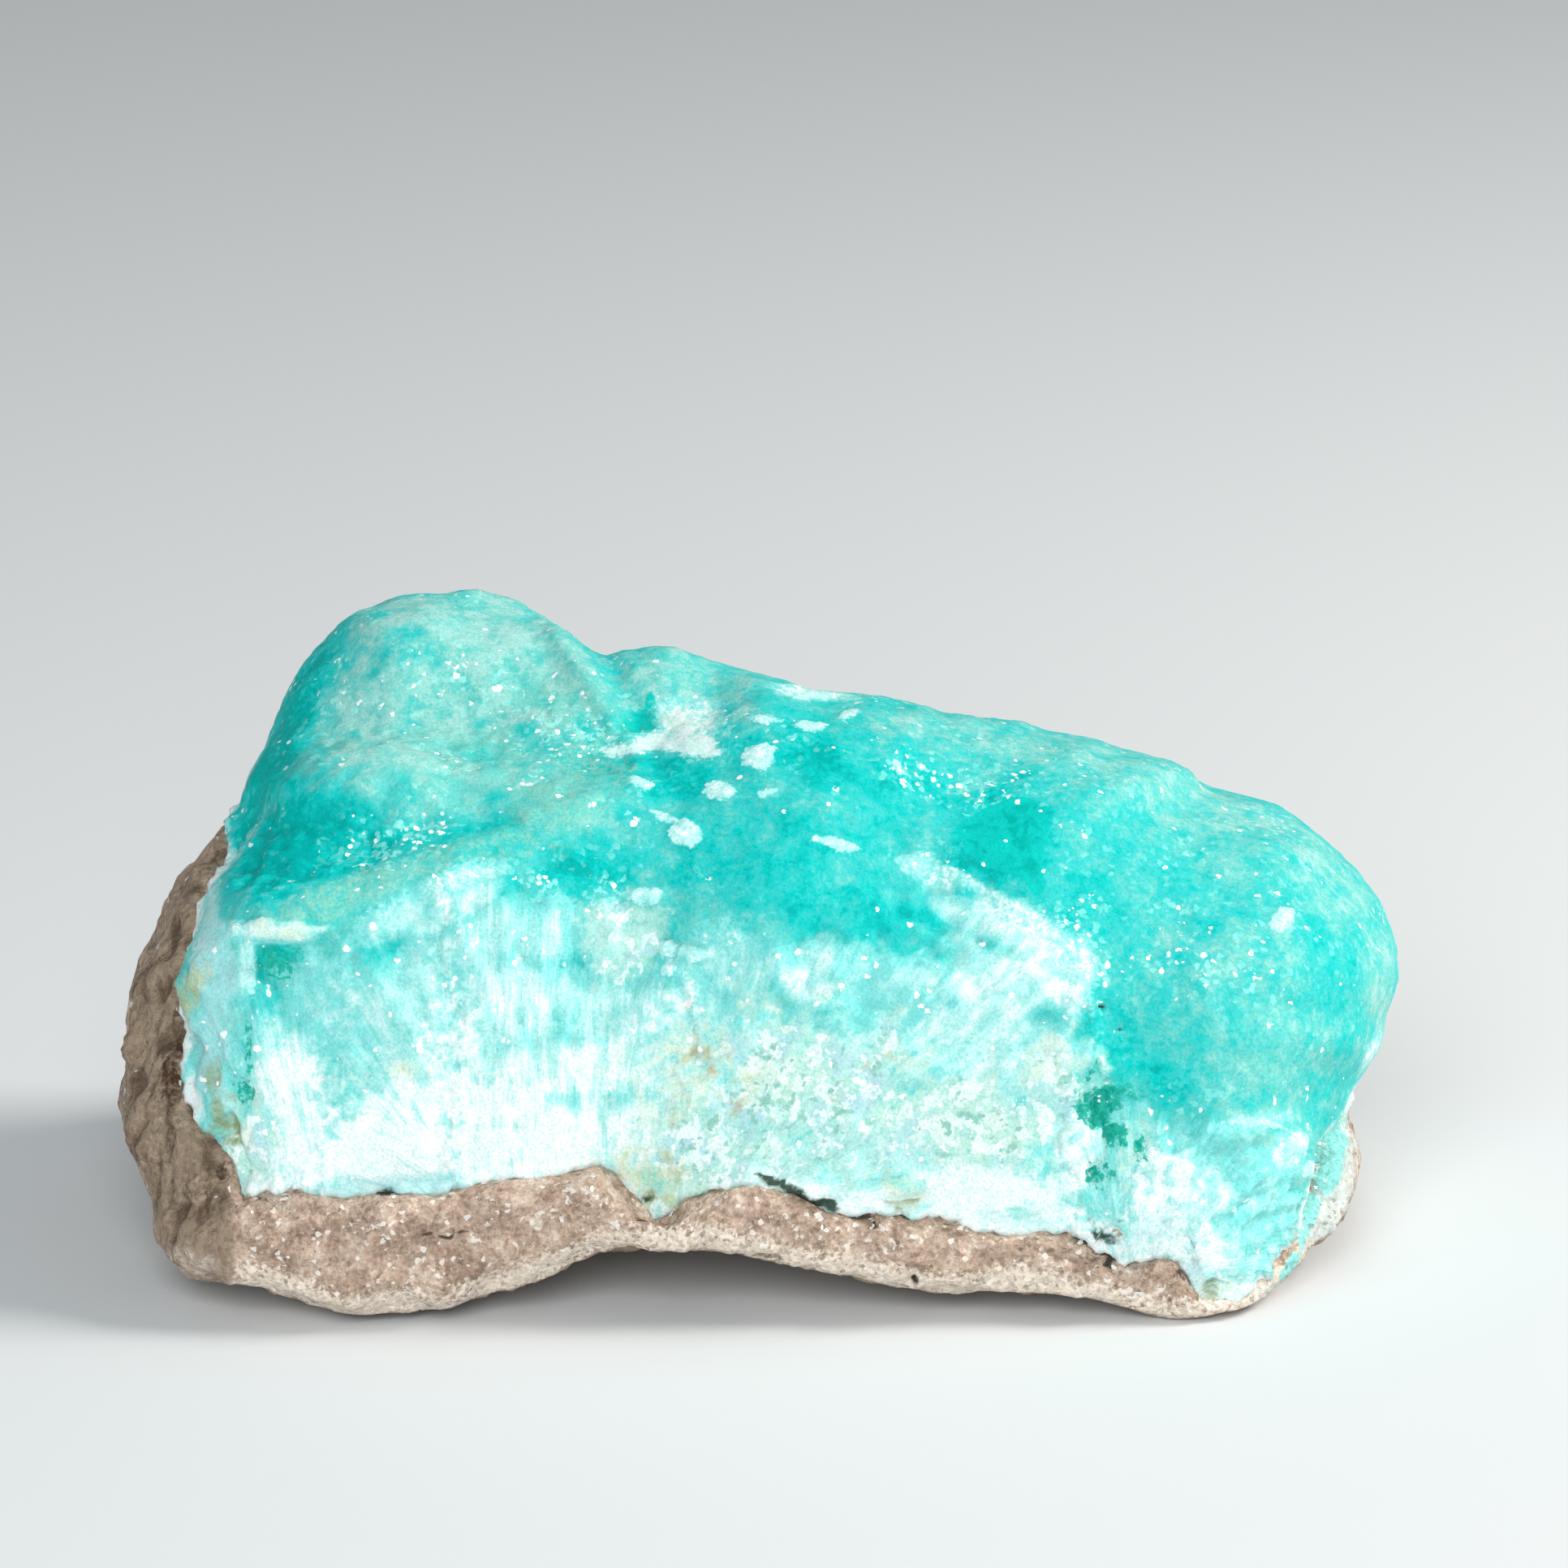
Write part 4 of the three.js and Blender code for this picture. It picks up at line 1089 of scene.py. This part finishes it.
# How far each noise moves the crust's colour along its scale.
TEAL_STIR = 0.24
TEAL_STOPS = [(0.0, "#A8DBD5"), (0.25, "#7BD1CA"), (0.52, "#45CBC8"), (0.78, "#0CC8C3"), (1.0, "#00B2AD")]
CRUST_LAYERS = [
    ("clear_deep", "fine", 0.16, 0.42, 0.58, "#0CC6BE"),
    ("clear_deep", "mid", 0.80, 0.80, 1.40, "#00B2A9"),
    ("sage", "mixed", 0.60, 0.15, 1.20, "#93D3C4"),
    ("crumbly", "mid", 0.60, 0.10, 0.90, "#AEE4DA"),
    ("white", "mixed", 0.36, 0.04, 0.36, "#8ADFDC"),
    ("white", "mixed", 0.46, 0.34, 0.68, "#BFEFEC"),
    ("white", "mixed", 0.56, 0.62, 0.94, "#FCFFFF"),
    ("crumbly", "mixed", 0.70, 0.30, 1.00, "#C4EBE1"),
    ("crumbly", "broad", 1.00, 0.85, 1.40, "#C6E6EC"),
    ("crumbly", "broad", -0.90, 0.90, 1.45, "#DCF0E4"),
    ("crumbly", "mid", 1.20, 1.02, 1.22, "#F4FCFA"),
    # Pale bluish white, partly painted shade at the foot of the white base and beside the rock.
    ("pale_blue_and_shade", "mixed", 0.60, 0.25, 1.15, "#ACDFE1"),
    ("cream", "mid", 0.60, 0.25, 1.20, "#E3F2E4"),
    ("crumbly", "face", 1.00, 1.30, 1.40, "#F8FFFD"),
    ("crumbly", "mixed", -1.00, 1.22, 1.50, "#A6D3C8"),
    ("straw", "mixed", 0.70, 0.30, 1.30, "#D3D8B2"),
    ("olive", "mixed", 0.70, 0.35, 1.20, "#9BA37C"),
    ("rust", "mixed", 0.80, 0.45, 1.90, "#CDA676"),
    ("emerald", "fine", 0.70, 0.35, 0.65, "#2FB5A3"),
    ("emerald", "fine", 0.90, 0.80, 1.10, "#10A08E"),
    ("chip", "fine", 0.40, 0.30, 0.65, "#E0F8F5"),
    ("flake", "fine", 0.22, 0.42, 0.58, "#B9F0EE"),
    ("flake", "fine", 0.90, 0.60, 1.15, "#F6FEFD"),
    # Painted shade in the crust's hollows and under its edge.
    ("hollow_shade", "fine", 0.30, 0.35, 0.85, "#4A5A50"),
]


def smithsonite():
    material, tree = new_material("drusy_and_fibrous_smithsonite")
    place = add(tree, "TexCoord", out=3)
    run = add(tree, "Attribute", out=1, attribute_name="fibre_run")
    broken, unfibred, glassy, glint, teal = (
        add(tree, "Attribute", out=2, attribute_name=mask)
        for mask in ("broken", "unfibred", "glassy", "glint", "teal"))
    noises = {name: add(tree, "TexNoise", {"Vector": place, "Scale": 1 / (size * MM), **settings})
              for name, (size, settings) in CRUST_NOISES.items()}
    fine, crumb = noises["fine"], noises["crumb"]

    # Single fibres and their bundles, which give way to lumps where the fibres are lost.
    drawn_out = add(tree, "VectorMath", {0: run, 1: FIBRE_LIE}, operation="MULTIPLY")
    fibres = add(tree, "TexNoise", {"Vector": drawn_out, "Scale": 1.0, "Detail": 3.0, "Roughness": 0.6})
    drawn_out = add(tree, "VectorMath", {0: run, 1: BUNDLE_LIE}, operation="MULTIPLY")
    bundles = add(tree, "TexNoise", {"Vector": drawn_out, "Scale": 1.0, "Detail": 2.0, "Roughness": 0.5})
    fibrous = add(tree, "Mix", {0: BUNDLE_SHARE, 2: fibres, 3: bundles}, data_type="FLOAT")
    unfibred = add(tree, "MapRange", {0: unfibred, 3: LEAST_LUMPY, 4: 1.0})
    fibrous = add(tree, "Mix", {0: unfibred, 2: fibrous, 3: noises["lumpy"]}, data_type="FLOAT")
    noises["mixed"] = mixed = add(tree, "Mix", {0: broken, 2: fine, 3: fibrous}, data_type="FLOAT")
    for name, (low, high) in CRUST_SPANS.items():
        noises[name] = add(tree, "MapRange", {0: noises[name], 1: low, 2: high}, clamp=False)

    # Each cell is one crystal face, and its colour gives the tilt of the face.
    jog = add(tree, "TexNoise", {"Vector": place, "Scale": 1 / (JOG_SIZE * MM), "Detail": 0.0}, out=1)
    jog = add(tree, "VectorMath", {0: jog, 1: (0.5, 0.5, 0.5)}, operation="SUBTRACT")
    jogged = add(tree, "VectorMath", {0: jog, 1: (JOG * MM,) * 3, 2: place}, operation="MULTIPLY_ADD")
    cells = add(tree, "TexVoronoi", {"Vector": jogged, "Scale": 1 / (DRUSE_CRYSTAL * MM)}).node
    to_middle, cell_colour = cells.outputs[0], cells.outputs[1]
    face, size, clean = add(tree, "SeparateColor", {0: cell_colour}).node.outputs
    noises["face"] = face

    # Some faces are paler flecks, more of them where the crystals crowd, and clear turquoise shows between.
    crowd = add(tree, "MapRange", {0: glint, 3: FLECK_FROM[0], 4: FLECK_FROM[1]})
    fleck = add(tree, "Math", {0: face, 1: crowd}, operation="SUBTRACT")
    clear = add(tree, "Math", {0: broken, 1: glassy}, operation="MAXIMUM")
    palest = add(tree, "MapRange", {0: clear, 3: FLECK_STRENGTH[0], 4: FLECK_STRENGTH[1]})
    fleck = add(tree, "MapRange", {0: fleck, 1: 0.0, 2: 0.2, 3: 0.0, 4: palest})
    for name in ("broad", "mid", "mixed"):
        teal = stirred(tree, teal, noises[name], TEAL_STIR)
    colour = add(tree, "ValToRGB", {0: teal}, stops=TEAL_STOPS)
    colour = add(tree, "Mix", {0: fleck, 6: colour, 7: linear(FLECK_COLOUR)}, out=2, data_type="RGBA")
    colour = layered(tree, colour, noises, CRUST_LAYERS)
    grain = add(tree, "MapRange", {0: crumb, 1: 0.35, 2: 0.60})
    sugared = add(tree, "Mix", {0: grain, 6: linear(SUGAR_SHADE), 7: linear("#FFFFFF")}, out=2,
                  data_type="RGBA")
    colour = add(tree, "Mix", {0: 1.0, 6: colour, 7: sugared}, out=2, data_type="RGBA",
                 blend_type="MULTIPLY")

    # Only a few faces are clean enough to flash: each is painted as a white point, a painted glint, and
    # given a glossy coat.
    glint = stirred(tree, glint, noises["broad"], 0.5)
    glint = add(tree, "Math", {0: glassy, 1: -0.35, 2: glint}, operation="MULTIPLY_ADD")
    fewest = add(tree, "MapRange", {0: glint, 1: 0.20, 2: 1.2, 3: FLASH_FROM[0], 4: FLASH_FROM[1]})
    clean = add(tree, "Math", {0: clean, 1: fewest}, operation="GREATER_THAN")
    size = add(tree, "MapRange", {0: size, 3: FLASH_REACH[0], 4: FLASH_REACH[1]})
    close = add(tree, "Math", {0: to_middle, 1: size}, operation="LESS_THAN")
    flash = add(tree, "Math", {0: clean, 1: close}, operation="MULTIPLY")
    colour = add(tree, "Mix", {0: flash, 6: colour, 7: linear("#FFFFFF")}, out=2, data_type="RGBA")

    height = add(tree, "Math", {0: crumb, 1: 0.4, 2: mixed}, operation="MULTIPLY_ADD")
    depth = add(tree, "MapRange", {0: broken, 3: 0.3, 4: 0.75})
    height = add(tree, "Math", {0: height, 1: depth}, operation="MULTIPLY")
    bump = add(tree, "Bump", {"Strength": 0.9, "Distance": DRUSE_BUMP * MM, "Height": height})
    rough = add(tree, "MapRange", {0: fine, 1: 0.3, 2: 0.7, 3: 0.35, 4: 0.6})
    shader = add(tree, "BsdfPrincipled", {
        "Base Color": colour, "Roughness": rough, "IOR": SMITHSONITE_IOR, "Normal": bump,
        "Specular IOR Level": 0.03, "Subsurface Weight": 0.45, "Subsurface Radius": (1.2, 1.15, 1.1),
        "Subsurface Scale": SMITHSONITE_DEPTH * MM,
        "Coat Weight": flash, "Coat Roughness": 0.06, "Coat IOR": CRYSTAL_IOR,
        "Coat Normal": facets(tree, cell_colour, DRUSE_LEAN),
    })
    add(tree, "OutputMaterial", {"Surface": shader})
    return material


# A fine-grained carbonate rock, dolomite and calcite: dull and sugary, each grain a cleaved crystal, so
# some grains flash, painted as near-white points with a glossy coat, while the rest scatter light like
# coarse sugar.
CARBONATE_IOR = 1.6
CLEAVED_IOR = 1.65
ROCK_GRAIN = 0.32
ROCK_BUMP = 0.55
# The share of faces that take no painted glint, where the rock is dull and where it sparkles, and where
# weathered and shaded.
ROCK_FLASH_FROM = (0.985, 0.86)
WEATHERED_FLASH_FROM = 0.998
# The share of grains that are dark, and how far the shades of the others differ.
DARK_GRAINS = 0.035
GRAIN_TONES = (0.80, 1.12)
ROCK_NOISES = {
    "broad": (2.6, {"Detail": 5.0, "Roughness": 0.7}),
    "fine": (0.8, {"Detail": 5.0, "Roughness": 0.8}),
    "sugar": (ROCK_GRAIN, {"Detail": 2.0, "Roughness": 0.6}),
}
ROCK_SPAN = (0.34, 0.66)
ROCK_STOPS = [(0.0, "#86705F"), (0.30, "#AE9481"), (0.5, "#C5AB97"), (0.70, "#D9C1AE"), (1.0, "#F2E2D3")]
ROCK_LAYERS = [
    # The weathered left face, darker partly with painted shade.
    ("weathered_and_shaded", "fine", 0.8, 0.1, 1.2, "#9A8772"),
    # Painted shade in the grooves of the left face.
    ("groove_shade", "fine", 0.7, 0.2, 1.3, "#5F4D3B"),
    # Paler rock at the right end, and painted light from the floor on the lower edge and its bevel.
    ("pale_and_floor_lit", "fine", 0.6, 0.2, 1.2, "#E2D3C4"),
    ("floor_lit_bevel", "sugar", 1.3, 0.1, 1.3, "#F3E4D3"),
    # Partly darker rock, partly painted shade under the crust's edge and in pits.
    ("dark_and_shade", "fine", 0.9, 0.25, 1.0, "#6A5846"),
    ("rust", "fine", 0.8, 0.3, 1.0, "#4A2C14"),
    # Painted shade in the crack.
    ("crack_shade", "fine", 0.3, 0.3, 0.8, "#5B4A3C"),
    ("rime", "fine", 0.6, 0.1, 0.7, "#DCE4DE"),
    ("film", "fine", 0.5, 0.3, 0.7, "#93E3DD"),
    # Painted shadow in the gaps under the crust, and painted shade in pits.
    ("gap", "fine", 0.5, 0.35, 0.75, "#33291F"),
]


def carbonate_rock():
    material, tree = new_material("sugary_carbonate_rock")
    place = add(tree, "TexCoord", out=3)
    noises = {name: add(tree, "TexNoise", {"Vector": place, "Scale": 1 / (size * MM), **settings})
              for name, (size, settings) in ROCK_NOISES.items()}
    height = add(tree, "Mix", {0: 0.45, 2: noises["fine"], 3: noises["sugar"]}, data_type="FLOAT")
    for name, noise in noises.items():
        noises[name] = add(tree, "MapRange", {0: noise, 1: ROCK_SPAN[0], 2: ROCK_SPAN[1]}, clamp=False)
    shade = add(tree, "Mix", {0: 0.40, 2: noises["fine"], 3: noises["sugar"]}, data_type="FLOAT")
    shade = add(tree, "Mix", {0: 0.45, 2: shade, 3: noises["broad"]}, data_type="FLOAT")
    shade = add(tree, "MapRange", {0: shade, 1: 0.12, 2: 0.88}, clamp=False)
    colour = add(tree, "ValToRGB", {0: shade}, stops=ROCK_STOPS)
    colour = layered(tree, colour, noises, ROCK_LAYERS)

    # Each grain has its own tone. A few cleaved ones lie flat enough to flash: they are painted near-white,
    # partly white grains and partly painted glints. A few are dark.
    cell_colour = add(tree, "TexVoronoi", {"Vector": place, "Scale": 1 / (ROCK_GRAIN * MM)}, out=1)
    number, tone, _ = add(tree, "SeparateColor", {0: cell_colour}).node.outputs
    tone = add(tree, "MapRange", {0: tone, 3: GRAIN_TONES[0], 4: GRAIN_TONES[1]})
    colour = add(tree, "VectorMath", {0: colour, 3: tone}, operation="SCALE")
    weathered_and_shaded = add(tree, "Attribute", out=2, attribute_name="weathered_and_shaded")
    fewest = add(tree, "MapRange", {
        0: noises["fine"], 1: 0.2, 2: 1.0, 3: ROCK_FLASH_FROM[0], 4: ROCK_FLASH_FROM[1],
    })
    fewest = add(tree, "Mix", {0: weathered_and_shaded, 2: fewest, 3: WEATHERED_FLASH_FROM}, data_type="FLOAT")
    flash = add(tree, "Math", {0: number, 1: fewest}, operation="GREATER_THAN")
    speck = add(tree, "Math", {0: number, 1: DARK_GRAINS}, operation="LESS_THAN")
    for grain, strength, paint in ((flash, 0.75, "#FFF8F0"), (speck, 0.4, "#4C3D31")):
        cover = add(tree, "Math", {0: grain, 1: strength}, operation="MULTIPLY")
        colour = add(tree, "Mix", {0: cover, 6: colour, 7: linear(paint)}, out=2, data_type="RGBA")
    bump = add(tree, "Bump", {"Strength": 0.9, "Distance": ROCK_BUMP * MM, "Height": height})
    shader = add(tree, "BsdfPrincipled", {
        "Base Color": colour, "Roughness": 0.75, "IOR": CARBONATE_IOR, "Normal": bump,
        "Specular IOR Level": 0.3, "Coat Weight": flash, "Coat Roughness": 0.10, "Coat IOR": CLEAVED_IOR,
        "Coat Normal": facets(tree, cell_colour, 1.0),
    })
    add(tree, "OutputMaterial", {"Surface": shader})
    return material


crust.data.materials.append(smithsonite())
rock.data.materials.append(carbonate_rock())
for piece, node, slot in ((crust, "smithsonite_crust", "smithsonite"), (rock, "matrix_rock", "matrix")):
    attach(piece, "root")
    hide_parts(node)

# ---------------------------------------------------------------- floor and light, in metres

FLOOR_HALF = 2.5
FLOOR_CORNERS = [(-1, -1), (1, -1), (1, 1), (-1, 1)]
# The lamps shine at a point this far above the floor.
AIM_HEIGHT = 0.015
# Each lamp: the way from the specimen to it, its distance, its width, its watts and its colour.
LAMPS = {
    "key_lamp": ((0.79, 0.04, 0.61), 0.6, 0.24, 3.2, "#FFFAF3"),
    "front_card": ((-0.12, -0.86, 0.46), 0.9, 0.6, 6.0, "#FAFCFC"),
}
AIR_COLOUR = "#EDF3F7"
AIR_STRENGTH = 0.30


def add_floor():
    mesh = bpy.data.meshes.new("studio_floor")
    mesh.from_pydata([(x * FLOOR_HALF, y * FLOOR_HALF, 0) for x, y in FLOOR_CORNERS], [], [(0, 1, 2, 3)])
    floor = bpy.data.objects.new("studio_floor", mesh)
    bpy.context.collection.objects.link(floor)
    material, tree = new_material("matt_white_paper")
    shader = add(tree, "BsdfPrincipled", {"Base Color": linear("#DFE3E5"), "Roughness": 0.85})
    add(tree, "OutputMaterial", {"Surface": shader})
    mesh.materials.append(material)


def add_lamp(name, towards, distance, size, power, colour):
    data = bpy.data.lights.new(name, "AREA")
    data.shape = "DISK"
    data.size = size
    data.energy = power
    data.color = linear(colour)[:3]
    lamp = bpy.data.objects.new(name, data)
    direction = Vector(towards).normalized()
    lamp.location = direction * distance + Vector((0, 0, AIM_HEIGHT))
    lamp.rotation_euler = direction.to_track_quat("Z", "Y").to_euler()
    bpy.context.collection.objects.link(lamp)


def add_air():
    world = bpy.data.worlds.new("studio_air")
    world.use_nodes = True
    colour, strength = world.node_tree.nodes["Background"].inputs[:2]
    colour.default_value = linear(AIR_COLOUR)
    strength.default_value = AIR_STRENGTH
    bpy.context.scene.world = world
    bpy.context.scene.view_settings.view_transform = "Standard"


add_floor()
for lamp_name, lamp_facts in LAMPS.items():
    add_lamp(lamp_name, *lamp_facts)
add_air()
add_camera()
